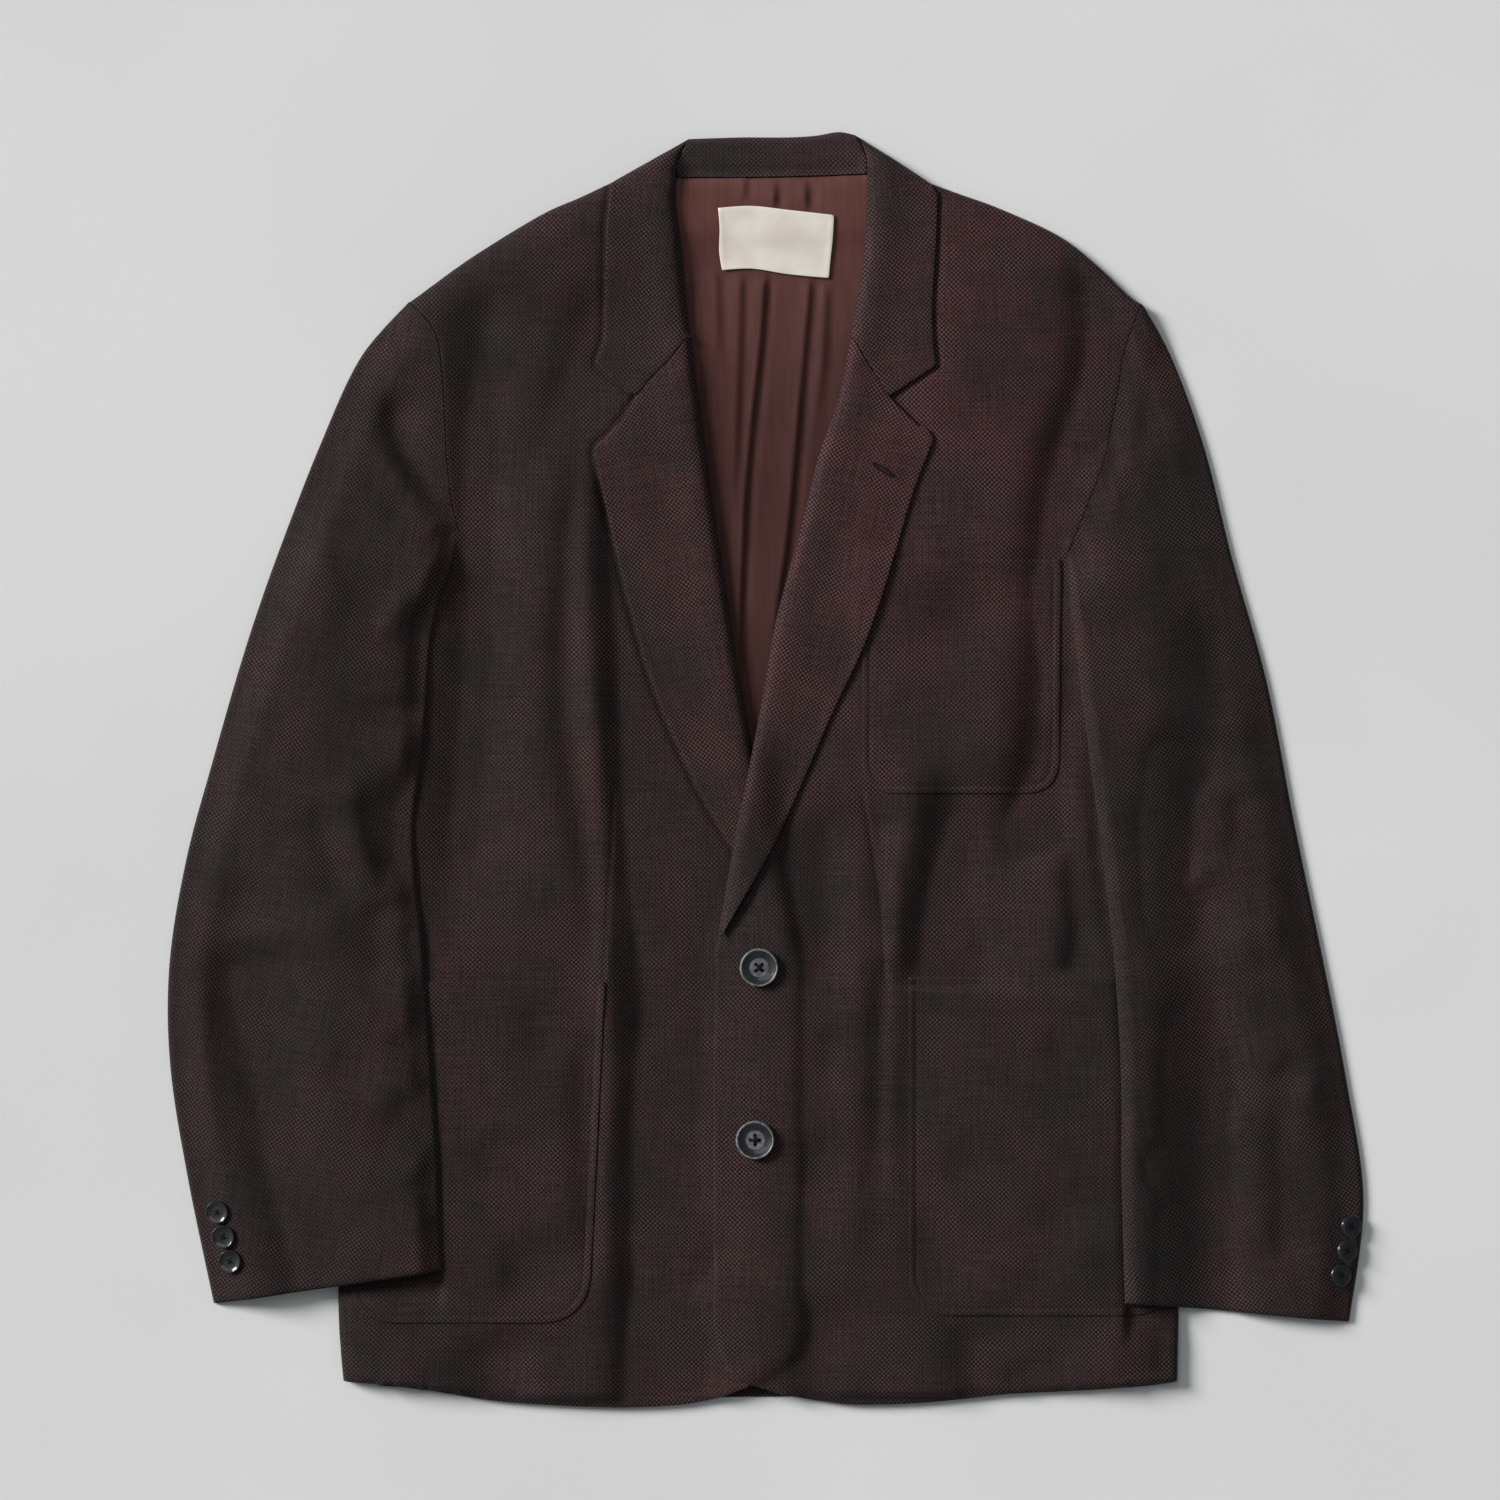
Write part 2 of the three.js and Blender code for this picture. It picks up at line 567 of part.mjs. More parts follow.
const lapelHeight = () => wall.back + seamGap + bodyHollow + wall.front + seamGap;
const restingOnly = () => 0; // for a layer that takes its height from what it lies on

const fall = makeLayer(lattice, fallOutline, collarFallWall, restingOnly, []);
const back = makeLayer(lattice, backOutline, wall.back, restingOnly, [fall]);
const liningBed = makeLayer(lattice, liningOutline, wall.lining + seamGap, restingOnly, [back]);
const lining = makeLayer(fineLattice, liningOutline, wall.lining, (x, y) => (
  heightAt(liningBed, liningBed.bottom, x, y) + seamGap + foldRelief(pleats, x, y)
), []);
const label = makeLayer(fineLattice, labelOutline, wall.label, restingOnly, [lining]);
const frontRight = makeLayer(lattice, frontRightOutline, wall.front, frontHeight, [back, liningBed]);
const lapelRightOutline = [
  ...offset(gorgeRight, seamGap), ...lapelRightPoint, ...lapelRightEdge,
  ...reversed(rollRight.slice(rollIndex(rollRight, gorgeTopY - 3), rollIndex(rollRight, lapelEndY))),
];
const lapelRight = makeLayer(
  lattice, lapelRightOutline, wall.lapel, lapelHeight, [back, liningBed, frontRight]);
const frontLeft = makeLayer(
  lattice, frontLeftOutline, wall.front, frontHeight, [back, liningBed, frontRight, lapelRight]);
const chestPocket = makeLayer(
  lattice, chestPocketOutline, wall.pocket, restingOnly, [frontLeft]);
const pocketLeft = makeLayer(lattice, pocketLeftOutline, wall.pocket, restingOnly, [frontLeft]);
const pocketRight = makeLayer(lattice, pocketRightOutline, wall.pocket, restingOnly, [frontRight]);
const lapelLeftOutline = [
  ...offset(gorgeLeft, -seamGap), ...lapelLeftPoint, ...lapelLeftEdge,
  ...reversed(rollLeft.slice(rollIndex(rollLeft, gorgeTopY - 3), rollIndex(rollLeft, lapelEndY))),
];
const lapelLeft = makeLayer(lattice, lapelLeftOutline, wall.lapel, lapelHeight,
  [back, liningBed, frontRight, lapelRight, frontLeft, chestPocket]);

// ---------------------------------------------------------------- making the pieces

const jacket = new THREE.Group();

function addPiece(name, geometry, material) {
  const mesh = new THREE.Mesh(geometry, material);
  mesh.name = name;
  jacket.add(mesh);
  return mesh;
}

function addCloth(name, solid, material = linen) {
  return addPiece(name, toGeometry(solid), material);
}

// Room for a turned edge, cut out of a sheet that runs inside the turn.
function clearOfTurn(solid, line, inward) {
  const side = Math.sign(inward);
  return solid.subtract(prism(strip(line, -6 * side, inward + seamGap * side)));
}

const collarRollLeft = rollLeft.slice(0, rollIndex(rollLeft, gorgeTopY));
const collarRollRight = rollRight.slice(0, rollIndex(rollRight, gorgeTopY));
const lapelRollLeft = rollLeft.slice(rollIndex(rollLeft, gorgeTopY), rollIndex(rollLeft, lapelEndY));
const lapelRollRight = rollRight.slice(rollIndex(rollRight, gorgeTopY), rollIndex(rollRight, lapelEndY));

function makeBack() {
  let solid = layerSolid(back);
  solid = clearOfTurn(solid, neckSideLeft, -turnWall);
  return clearOfTurn(solid, neckSideRight, turnWall);
}

function makeFrontLeft() {
  const solid = clearOfTurn(layerSolid(frontLeft), neckSideLeft, -turnWall);
  return clearOfTurn(solid, rollLeft, turnWall);
}

function makeFrontRight() {
  const solid = clearOfTurn(layerSolid(frontRight), neckSideRight, turnWall);
  return clearOfTurn(solid, rollRight, -turnWall);
}

function makeLapelLeft() {
  const turn = turnSolid(
    lapelRollLeft, turnWall, [back, liningBed, frontRight, lapelRight], lapelLeft.top);
  return layerSolid(lapelLeft).add(turn.intersect(prism(lapelLeftOutline)));
}

function makeLapelRight() {
  const turn = turnSolid(lapelRollRight, -turnWall, [back, liningBed], lapelRight.top);
  return layerSolid(lapelRight).add(turn.intersect(prism(lapelRightOutline)));
}

// The collar: its fall lies under the back's neck, the stand shows inside the neck, and
// the two leaves lie on the fronts. Turned cloth joins them along the roll lines.
function makeCollar() {
  const leafLeft = makeLayer(lattice, [
    ...collarRollLeft, ...gorgeLeft, ...collarLeafLeft,
    ...reversed(neckSideLeft),
  ], wall.collar, restingOnly, [back, frontLeft, frontRight]);
  const leafRight = makeLayer(lattice, [
    ...collarRollRight, ...gorgeRight, ...collarLeafRight, ...reversed(neckSideRight),
  ], wall.collar, restingOnly, [back, frontRight, frontLeft]);
  const rollTopLeft = collarRollLeft.slice(0, rollIndex(collarRollLeft, 363));
  const rollTopRight = collarRollRight.slice(0, rollIndex(collarRollRight, 363));
  const stand = makeLayer(lattice, [
    ...collarTop, ...rollTopLeft, ...neckSeam, ...reversed(rollTopRight),
  ], turnWall, restingOnly, [fall]);
  const pieces = [
    layerSolid(leafLeft),
    layerSolid(leafRight),
    layerSolid(stand),
    turnSolid(collarRollLeft, turnWall, [fall, back, liningBed], leafLeft.top),
    turnSolid(collarRollRight, -turnWall, [fall, back, liningBed], leafRight.top),
    turnSolid(neckSideLeft, -turnWall, [], leafLeft.top),
    turnSolid(neckSideRight, turnWall, [], leafRight.top),
    turnSolid(collarTop, -turnWall, [], stand.top),
    layerSolid(fall),
  ];
  return pieces.reduce((sum, piece) => sum.add(piece));
}

addCloth('back', makeBack());
addCloth('back_lining', layerSolid(lining), liningCloth);
addCloth('label', layerSolid(label), labelCloth);
addCloth('front_right', makeFrontRight());
addCloth('front_left', makeFrontLeft());
addCloth('lapel_right', makeLapelRight());
addCloth('lapel_left', makeLapelLeft());
addCloth('collar', makeCollar());
addCloth('chest_pocket', layerSolid(chestPocket));
addCloth('pocket_left', layerSolid(pocketLeft));
addCloth('pocket_right', layerSolid(pocketRight));

// ---------------------------------------------------------------- sleeves

const carryTopLeft = armholeLineLeft[acrossCount][1];
const carryTopRight = armholeLineRight[acrossCount][1];
const carryZoneLeft = [
  [0, carryTopLeft], ...underarmLeft, ...sideLeft.slice(1), [0, -374],
];
const carryZoneRight = [
  [0, carryTopRight], ...underarmRight, ...sideRight.slice(1), [0, -374],
];

// The height that a sleeve's underside rides at: on the body, or down on the ground.
function restHeight(zone, x, y) {
  const away = isInside(zone, x, y) ? 0 : distanceToLine([...zone, zone[0]], x, y);
  const onPocket = 1 - THREE.MathUtils.smoothstep(y, carry.pocketToY, carry.pocketFromY);
  const height = THREE.MathUtils.lerp(carry.plain, carry.pocket, onPocket);
  return height * (1 - THREE.MathUtils.smoothstep(away, carry.flat, carry.flat + carry.ramp));
}

function makeSleeve(stations, armhole, zone, gapSide) {
  const keys = ['outerX', 'outerY', 'innerX', 'innerY', 'bend'];
  const tracks = Object.fromEntries(keys.map((key) => [
    key, new THREE.SplineCurve(stations.map((row, k) => new THREE.Vector2(k, row[key]))),
  ]));
  const at = (along) => Object.fromEntries(
    keys.map((key) => [key, tracks[key].getPoint(along).y]));
  const start = at(0);

  // A point of the sleeve's plan: along 0 to 1 from armhole to cuff, across 0 to 1.
  const plan = (along, across) => {
    const station = at(along);
    const seam = armhole.getPoint(across);
    const chordX = THREE.MathUtils.lerp(start.outerX, start.innerX, across);
    const chordY = THREE.MathUtils.lerp(start.outerY, start.innerY, across);
    const bend = Math.max(station.bend, 0);
    const apart = along === 0 ? seamGap * 2 * gapSide : 0;
    return [
      THREE.MathUtils.lerp(station.outerX, station.innerX, across)
        + bend * (seam.x - chordX) + apart,
      THREE.MathUtils.lerp(station.outerY, station.innerY, across) + bend * (seam.y - chordY),
    ];
  };
  const widthAt = (along) => {
    const station = at(along);
    return Math.hypot(station.outerX - station.innerX, station.outerY - station.innerY);
  };
  const innerHeight = (x, y, edge) => {
    const relief = foldRelief(sleeveFolds, x, y) * THREE.MathUtils.smoothstep(edge, 0, foldFreeEdge);
    return sleeveWall.under + seamGap + Math.max(sleeveHollow + relief, 0);
  };
  // The outer skin's height above where the sleeve lies.
  const skin = (along, across) => {
    const width = widthAt(along);
    const [x, y] = plan(along, across);
    const edge = Math.min(across, 1 - across) * width;
    const full = innerHeight(x, y, edge) + sleeveWall.top;
    return [x, y, restHeight(zone, x, y) + full * edgeRise(edge, sleeveEdgeRound)];
  };
  const inside = (along, across) => {
    const width = widthAt(along);
    const share = sleeveWall.top / width;
    const held = THREE.MathUtils.clamp(across, share, 1 - share);
    const [x, y] = plan(along, held);
    const edge = Math.min(held, 1 - held) * width;
    const rise = edgeRise(edge - sleeveWall.top, sleeveEdgeRound - sleeveWall.top);
    return [x, y, restHeight(zone, x, y) + innerHeight(x, y, edge) * rise];
  };
  const alongs = Array.from({ length: stationCount + 1 }, (_, k) => k / stationCount);
  const grid = (point, shares) => alongs.map((along) => shares.map((a) => point(along, a)));
  const top = slab(grid(skin, acrossShares), grid(inside, acrossShares));

  // The under half lies within the turned edges of the top half and thins out there.
  const underShares = acrossShares.slice(1, -1);
  const under = (thickness) => (along, across) => {
    const share = (sleeveWall.top + 2 * seamGap) / widthAt(along);
    const isEdge = across === underShares[0] || across === underShares.at(-1);
    const [x, y] = plan(along, THREE.MathUtils.clamp(across, share, 1 - share));
    return [x, y, restHeight(zone, x, y) + thickness * (isEdge ? 0.45 : 1)];
  };
  const bottom = slab(grid(under(sleeveWall.under), underShares), grid(under(0), underShares));
  return { top, bottom, skin, plan };
}

// A slab's faces point inwards when its columns and rows are mirrored, so it is turned.
function facingOut(geometry) {
  const solid = toManifold(geometry);
  if (solid.volume() > 0) {
    return solid;
  }
  const index = geometry.index.array;
  for (let k = 0; k < index.length; k += 3) {
    const kept = index[k + 1];
    index[k + 1] = index[k + 2];
    index[k + 2] = kept;
  }
  return toManifold(geometry);
}

const sleeves = {
  right: makeSleeve(sleeveRightStations, armholeRight, carryZoneRight, -1),
  left: makeSleeve(sleeveLeftStations, armholeLeft, carryZoneLeft, 1),
};
for (const [side, sleeve] of Object.entries(sleeves)) {
  addCloth(`top_sleeve_${side}`, facingOut(sleeve.top));
  addCloth(`under_sleeve_${side}`, facingOut(sleeve.bottom));
}

// ---------------------------------------------------------------- buttons

// A sewing button with a raised rim, a dished middle and four holes.
function makeButton(size, segments) {
  const floor = size.thickness - size.dish;
  const profile = [
    [0, 0], [size.radius - 0.8, 0], [size.radius, size.thickness * 0.45],
    [size.radius - size.rim * 0.4, size.thickness], [size.radius - size.rim, size.thickness - 0.2],
    [size.radius - size.rim - 0.6, floor], [0, floor],
  ];
  const geometry = new THREE.LatheGeometry(vectors(profile), segments);
  geometry.rotateX(Math.PI / 2);
  let button = facingOut(geometry);
  for (const [sx, sy] of [[1, 1], [1, -1], [-1, 1], [-1, -1]]) {
    const hole = new THREE.CylinderGeometry(size.hole, size.hole, size.thickness * 3, 8);
    hole.rotateX(Math.PI / 2);
    hole.translate(sx * size.pitch, sy * size.pitch, 0);
    button = button.subtract(toManifold(hole));
  }
  return toGeometry(button);
}

function highestTop(layer, x, y, radius) {
  let highest = 0;
  for (let turn = 0; turn < 16; turn += 1) {
    for (const reach of [0, 0.5, 1]) {
      const angle = (turn * Math.PI) / 8;
      const px = x + Math.cos(angle) * radius * reach;
      const py = y + Math.sin(angle) * radius * reach;
      highest = Math.max(highest, heightAt(layer, layer.top, px, py));
    }
  }
  return highest;
}

for (const { name, x, y, turn } of frontButtons) {
  const mesh = addPiece(name, makeButton(frontButton, 24), horn);
  mesh.position.set(x, y, highestTop(frontLeft, x, y, frontButton.radius + 4) + seamGap);
  mesh.rotation.z = turn;
}

// The height at which a tilted button just clears the sleeve's skin under it.
function seatOnSleeve(sleeve, x, y, tilt, radius) {
  let seat = 0;
  for (let a = 0.7; a <= 1; a += 0.005) {
    for (let b = 0; b <= 0.3; b += 0.004) {
      const [px, py, pz] = sleeve.skin(a, b);
      if (Math.hypot(px - x, py - y) < radius + 1) {
        seat = Math.max(seat, pz + Math.tan(tilt) * (px - x));
      }
    }
  }
  return seat;
}

for (const { name, side, x, y, tilt } of cuffButtons) {
  const mesh = addPiece(name, makeButton(cuffButton, 16), horn);
  const seat = seatOnSleeve(sleeves[side], x, y, tilt, cuffButton.radius);
  mesh.position.set(x, y, seat + seamGap);
  mesh.rotation.y = tilt;
}

// The origin is under the middle of the jacket's footprint.
const footprint = new THREE.Box3().setFromObject(jacket).getCenter(new THREE.Vector3());
jacket.position.set(-footprint.x, -footprint.y, 0);

export default jacket;
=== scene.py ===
import math

import bpy
import numpy as np
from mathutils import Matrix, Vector
from mathutils.geometry import delaunay_2d_cdt


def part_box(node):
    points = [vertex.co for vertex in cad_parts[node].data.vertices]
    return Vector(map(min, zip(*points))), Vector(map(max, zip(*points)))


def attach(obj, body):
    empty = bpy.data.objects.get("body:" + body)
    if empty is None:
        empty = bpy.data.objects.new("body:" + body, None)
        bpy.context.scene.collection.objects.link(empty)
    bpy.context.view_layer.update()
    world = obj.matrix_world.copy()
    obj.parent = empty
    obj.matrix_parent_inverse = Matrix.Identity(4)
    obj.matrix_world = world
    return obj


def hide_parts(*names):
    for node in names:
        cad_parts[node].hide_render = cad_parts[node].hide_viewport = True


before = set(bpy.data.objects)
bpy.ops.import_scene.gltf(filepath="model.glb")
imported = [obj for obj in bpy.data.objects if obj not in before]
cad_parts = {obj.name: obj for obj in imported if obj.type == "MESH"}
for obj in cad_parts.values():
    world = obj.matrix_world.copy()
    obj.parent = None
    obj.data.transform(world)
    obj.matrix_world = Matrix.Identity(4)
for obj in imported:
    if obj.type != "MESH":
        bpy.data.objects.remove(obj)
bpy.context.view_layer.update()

# Plan coordinates are in millimetres, as the jacket was drawn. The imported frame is
# shifted so that its origin is under the middle of the footprint.
POCKET_CORNER = (87.0, -333.5)    # the left pocket's low corner, as drawn
pocket_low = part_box("pocket_left")[0]
SHIFT_X = pocket_low[0] * 1000 - POCKET_CORNER[0]
SHIFT_Y = pocket_low[1] * 1000 - POCKET_CORNER[1]
MM = 0.001

GAP = 0.3             # between two sheets that lie on each other
# The room that each layer takes up in the stack.
WALL = {"back": 2.0, "lining": 1.0, "front": 2.4, "lapel": 2.4, "collar": 2.4, "pocket": 1.6}
CLOTH = 1.5           # thickness of the linen as it is modelled
LAPEL_CLOTH = 1.2
POCKET_CLOTH = 0.65
SLEEVE_WALL = 1.6
BODY_HOLLOW = 7.0     # air between the back and the fronts
NECK_HOLLOW = 3.0     # the fronts lie lower along the neck's opening
PRESSED_HOLLOW = 3.0  # and where the sleeves lie on them
SLEEVE_HOLLOW = 6.6   # air inside a sleeve
FLAT_HOLLOW = 2.8     # and where the left sleeve lies on the front
BODY_EDGE = 24.0      # the fronts come down to the back over this width
ROLL = 5.5            # radius with which a lapel or collar turns over


# ---------------------------------------------------------------- plane geometry

def spline(points, samples):
    p = np.array(points, float)
    t = np.linspace(0, len(p) - 1, samples + 1)
    return catmull(p, t)


def catmull(p, t):
    k = np.clip(np.floor(t).astype(int), 0, len(p) - 2)
    w = (t - k)[:, None]
    p0 = p[np.maximum(k - 1, 0)]
    p1 = p[k]
    p2 = p[k + 1]
    p3 = p[np.minimum(k + 2, len(p) - 1)]
    v0 = (p2 - p0) * 0.5
    v1 = (p3 - p1) * 0.5
    return ((2 * p1 - 2 * p2 + v0 + v1) * w ** 3
            + (-3 * p1 + 3 * p2 - 2 * v0 - v1) * w ** 2 + v0 * w + p1)


def joined(*lines):
    out = []
    for line in lines:
        for point in line:
            point = (float(point[0]), float(point[1]))
            if not out or math.dist(out[-1], point) > 0.05:
                out.append(point)
    if math.dist(out[0], out[-1]) < 0.05:
        out.pop()
    return np.array(out)


def resample(line, step):
    p = np.array(line, float)
    lengths = np.hypot(*np.diff(p, axis=0).T)
    along = np.concatenate([[0], np.cumsum(lengths)])
    count = max(int(math.ceil(along[-1] / step)), 1)
    t = np.linspace(0, along[-1], count + 1)
    return np.stack([np.interp(t, along, p[:, 0]), np.interp(t, along, p[:, 1])], 1)


def refine(loop, step):
    """A closed outline with its corners kept and no segment longer than step."""
    out = []
    for a, b in zip(loop, np.roll(loop, -1, axis=0)):
        count = max(int(math.ceil(math.dist(a, b) / step)), 1)
        for k in range(count):
            out.append(a + (b - a) * k / count)
    return np.array(out)


def offset(line, distance):
    p = np.array(line, float)
    run = np.gradient(p, axis=0)
    run /= np.maximum(np.hypot(run[:, 0], run[:, 1]), 1e-9)[:, None]
    return p + np.stack([-run[:, 1], run[:, 0]], 1) * distance


def inside(outline, x, y):
    result = np.zeros(np.shape(x), bool)
    for (ax, ay), (bx, by) in zip(outline, np.roll(outline, 1, axis=0)):
        if ay == by:
            continue
        crossing = (ay > y) != (by > y)
        result ^= crossing & (x < (bx - ax) * (y - ay) / (by - ay) + ax)
    return result


def distance(line, x, y, closed=False):
    """Distance to a line, the side (positive to the left of its run) and the place, 0 to 1."""
    p = np.array(line, float)
    if closed:
        p = np.vstack([p, p[:1]])
    shape = np.shape(x)
    x = np.ravel(x)
    y = np.ravel(y)
    best = np.full(x.shape, 1e9)
    side = np.zeros(x.shape)
    place = np.zeros(x.shape)
    lengths = np.hypot(*np.diff(p, axis=0).T)
    total = max(lengths.sum(), 1e-9)
    done = 0.0
    for (ax, ay), (bx, by), length in zip(p[:-1], p[1:], lengths):
        if length < 1e-9:
            continue
        ux, uy = (bx - ax) / length, (by - ay) / length
        s = np.clip((x - ax) * ux + (y - ay) * uy, 0, length)
        dx = x - ax - s * ux
        dy = y - ay - s * uy
        d = np.hypot(dx, dy)
        near = d < best
        best = np.where(near, d, best)
        side = np.where(near, np.sign(ux * (y - ay) - uy * (x - ax)), side)
        place = np.where(near, (done + s) / total, place)
        done += length
    return best.reshape(shape), side.reshape(shape), place.reshape(shape)


def smooth(value, low, high):
    t = np.clip((value - low) / (high - low), 0, 1)
    return t * t * (3 - 2 * t)


def quarter(d, radius):
    """How far a rounded edge of that radius lies under the flat, at a distance from it."""
    q = 1 - np.clip(d / radius, 0, 1)
    return radius * (1 - np.sqrt(np.maximum(1 - q * q, 0)))


def lumps(x, y, size, seed):
    """A soft unevenness from -1 to 1, the same on every run."""
    u = np.asarray(x) / size
    v = np.asarray(y) / size
    return (np.sin(u * 1.9 + seed) * np.cos(v * 1.3 + seed * 2.1)
            + np.sin(u * 0.8 - v * 1.7 + seed * 3.7) * 0.7
            + np.cos(u * 2.9 + v * 2.3 + seed * 5.3) * 0.4) / 2.1


# ---------------------------------------------------------------- outlines

ROLL_L = spline([(54.5, 385.5), (61, 372), (61.5, 345), (59, 308), (53, 271), (44, 226),
                 (32, 190), (21, 146), (6, 90), (-4, 34), (-9, 8), (-15, -22), (-20.5, -50),
                 (-30.5, -109)], 104)
ROLL_R = spline([(-47.5, 383), (-54, 369), (-55, 348), (-52.5, 325), (-46.4, 263), (-40, 214),
                 (-34, 168), (-24, 104), (-17.5, 61), (-8.5, 10), (4, -50), (17, -109)], 92)
GORGE_L = [(52, 264), (75, 226.5)]
GORGE_R = [(-46.6, 264), (-60.5, 247.5), (-71.5, 236.5), (-78.5, 227)]
LAPEL_L_POINT = [(92, 209), (98.5, 206.5), (101.8, 201)]
LAPEL_L_EDGE = spline([(101, 197), (91, 171.5), (82, 142), (71.5, 107.5), (59, 72.5), (39.5, 31),
                       (9, -38.5), (-14.6, -81), (-27.5, -103)], 60)
LAPEL_R_POINT = [(-86.5, 213.5), (-97, 201.5), (-103.5, 196.5)]
LAPEL_R_EDGE = spline([(-104.6, 191), (-101, 174), (-95.5, 151), (-85.5, 109), (-68.5, 50.5),
                       (-50, 6), (-32.5, -28), (-8, -68), (13, -104)], 60)
LEAF_L = spline([(103.7, 245.2), (101.8, 262), (101.3, 281), (102.5, 302), (104, 328),
                 (104.5, 349)], 30)
LEAF_R = spline([(-103.7, 247), (-98.6, 262), (-97.8, 282), (-97.4, 308), (-96.6, 334),
                 (-94, 356)], 30)
COLLAR_TOP = spline([(-47, 384), (-16, 385), (12, 385), (30, 386), (44, 388.3), (54, 386.5)], 34)
NECK_L = [(54, 386.5), (78, 371.5), (100, 357)]
NECK_R = [(-47, 384), (-70, 371), (-93, 358)]
FALL_EDGE = spline([(104, 347), (62, 334), (2, 329), (-56, 333), (-97, 347)], 40)
NECK_SEAM = [(62, 362.5), (15, 361), (-16, 360.5), (-54, 360.5)]
SHOULDER_L = spline([(100, 357), (117, 350.8), (142.7, 341.5), (179.3, 324.5), (204, 305),
                     (221, 288.5), (229.4, 283)], 40)
SHOULDER_R = spline([(-93, 358), (-113.5, 348.3), (-138, 337.3), (-180.6, 311.1),
                     (-213, 287.5), (-217.8, 284.3)], 40)
ARM_KEYS_L = np.array([(229.4, 283), (219.5, 256), (214, 224), (206.5, 188), (195, 157),
                       (183.6, 128.7)])
ARM_KEYS_R = np.array([(-217.8, 284.3), (-201.5, 265), (-197, 233), (-195.2, 195),
                       (-192.2, 163), (-187.3, 144)])
ARMHOLE_L = spline(ARM_KEYS_L, 48)
ARMHOLE_R = spline(ARM_KEYS_R, 48)
UNDERARM_L = spline([(183.6, 128.7), (206, 122), (232, 112), (252, 94), (256, 70)], 24)
UNDERARM_R = spline([(-187.3, 144), (-211, 136), (-238, 124), (-257, 106), (-262, 80)], 24)
SIDE_L = spline([(256, 70), (254.5, -60), (253, -200), (252, -320), (251, -374)], 40)
SIDE_R = spline([(-262, 80), (-260.5, -60), (-262, -220), (-261, -330), (-258, -374)], 40)
HEM_L = spline([(251, -374), (233, -377), (191, -380), (149, -382), (117, -385.5), (86, -388),
                (54, -388.5), (39, -387), (18, -383.8), (1, -379), (-9, -375.8)], 70)
CORNER_L = spline([(-9, -375.8), (-20, -370), (-27, -359), (-31.7, -340)], 24)
CORNER_R = spline([(-24, -382.6), (-8.5, -376), (9, -365), (18, -352), (21.4, -334)], 28)
HEM_R = spline([(-258, -374), (-235, -376.5), (-202, -380.5), (-167, -386), (-128, -389),
                (-90, -390.3), (-57, -389), (-38, -386.3), (-24, -382.6)], 60)
BACK_HEM = spline([(251, -374), (191, -378), (117, -382), (0, -384), (-128, -385),
                   (-202, -379), (-258, -374)], 60)
LABEL = np.array([(-29.3, 341.6), (41.5, 337.3), (38.4, 298.9), (-26.8, 303.8)])


def pocket_outline(left, right, top, bottom, lean, radius):
    def bend(a, control, b):
        t = np.linspace(0, 1, 13)[:, None]
        a, control, b = (np.array(v, float) for v in (a, control, b))
        return (1 - t) ** 2 * a + 2 * t * (1 - t) * control + t * t * b
    return joined(
        [(left, top)],
        bend((left, bottom + radius), (left, bottom), (left + radius, bottom)),
        bend((right + lean - radius, bottom), (right + lean, bottom),
             (right + lean * 0.8, bottom + radius)),
        [(right, top)])


CHEST_POCKET = pocket_outline(58.5, 180, 127, -15.5, -1.5, 21)
POCKET_L = pocket_outline(POCKET_CORNER[0], 249, -127.5, POCKET_CORNER[1], 0, 27)
POCKET_R = pocket_outline(-254, -98, -130, -338, -11, 30)


def rev(line):
    return np.array(line)[::-1]


def below(line, y):
    return int(np.argmax(np.array(line)[:, 1] < y))


BACK_OUTLINE = joined(
    SHOULDER_R, ARMHOLE_R, UNDERARM_R, SIDE_R, rev(BACK_HEM), rev(SIDE_L), rev(UNDERARM_L),
    rev(ARMHOLE_L), rev(SHOULDER_L), [(78, 371.5), (66, 368)],
    [(x, y - 2) for x, y in NECK_SEAM], [(-58, 368), (-70, 371)])
FRONT_L_OUTLINE = joined(
    ROLL_L, [(-32.3, -200)], rev(CORNER_L), rev(HEM_L), rev(SIDE_L), rev(UNDERARM_L),
    rev(ARMHOLE_L), rev(SHOULDER_L), rev(NECK_L)[1:])
FRONT_R_OUTLINE = joined(
    ROLL_R, [(21.4, -130)], rev(CORNER_R), rev(HEM_R), rev(SIDE_R), rev(UNDERARM_R),
    rev(ARMHOLE_R), rev(SHOULDER_R), rev(NECK_R)[1:])
LINING_MARGIN = 14
LINING_OUTLINE = joined(
    offset(ROLL_R, -LINING_MARGIN)[below(ROLL_R, 352):below(ROLL_R, -20)], [(2, -40)],
    rev(offset(ROLL_L, LINING_MARGIN)[below(ROLL_L, 354):below(ROLL_L, -10)]),
    [(x, y - GAP) for x, y in NECK_SEAM])
LAPEL_ROLL_L = ROLL_L[below(ROLL_L, 261):below(ROLL_L, -103)]
LAPEL_ROLL_R = ROLL_R[below(ROLL_R, 261):below(ROLL_R, -103)]
LAPEL_L_OUTLINE = joined(offset(GORGE_L, -GAP), LAPEL_L_POINT, LAPEL_L_EDGE, rev(LAPEL_ROLL_L))
LAPEL_R_OUTLINE = joined(offset(GORGE_R, GAP), LAPEL_R_POINT, LAPEL_R_EDGE, rev(LAPEL_ROLL_R))
COLLAR_ROLL_L = ROLL_L[:below(ROLL_L, 264)]
COLLAR_ROLL_R = ROLL_R[:below(ROLL_R, 264)]
LEAF_L_OUTLINE = joined(COLLAR_ROLL_L, GORGE_L, LEAF_L, rev(NECK_L))
LEAF_R_OUTLINE = joined(COLLAR_ROLL_R, GORGE_R, LEAF_R, rev(NECK_R))
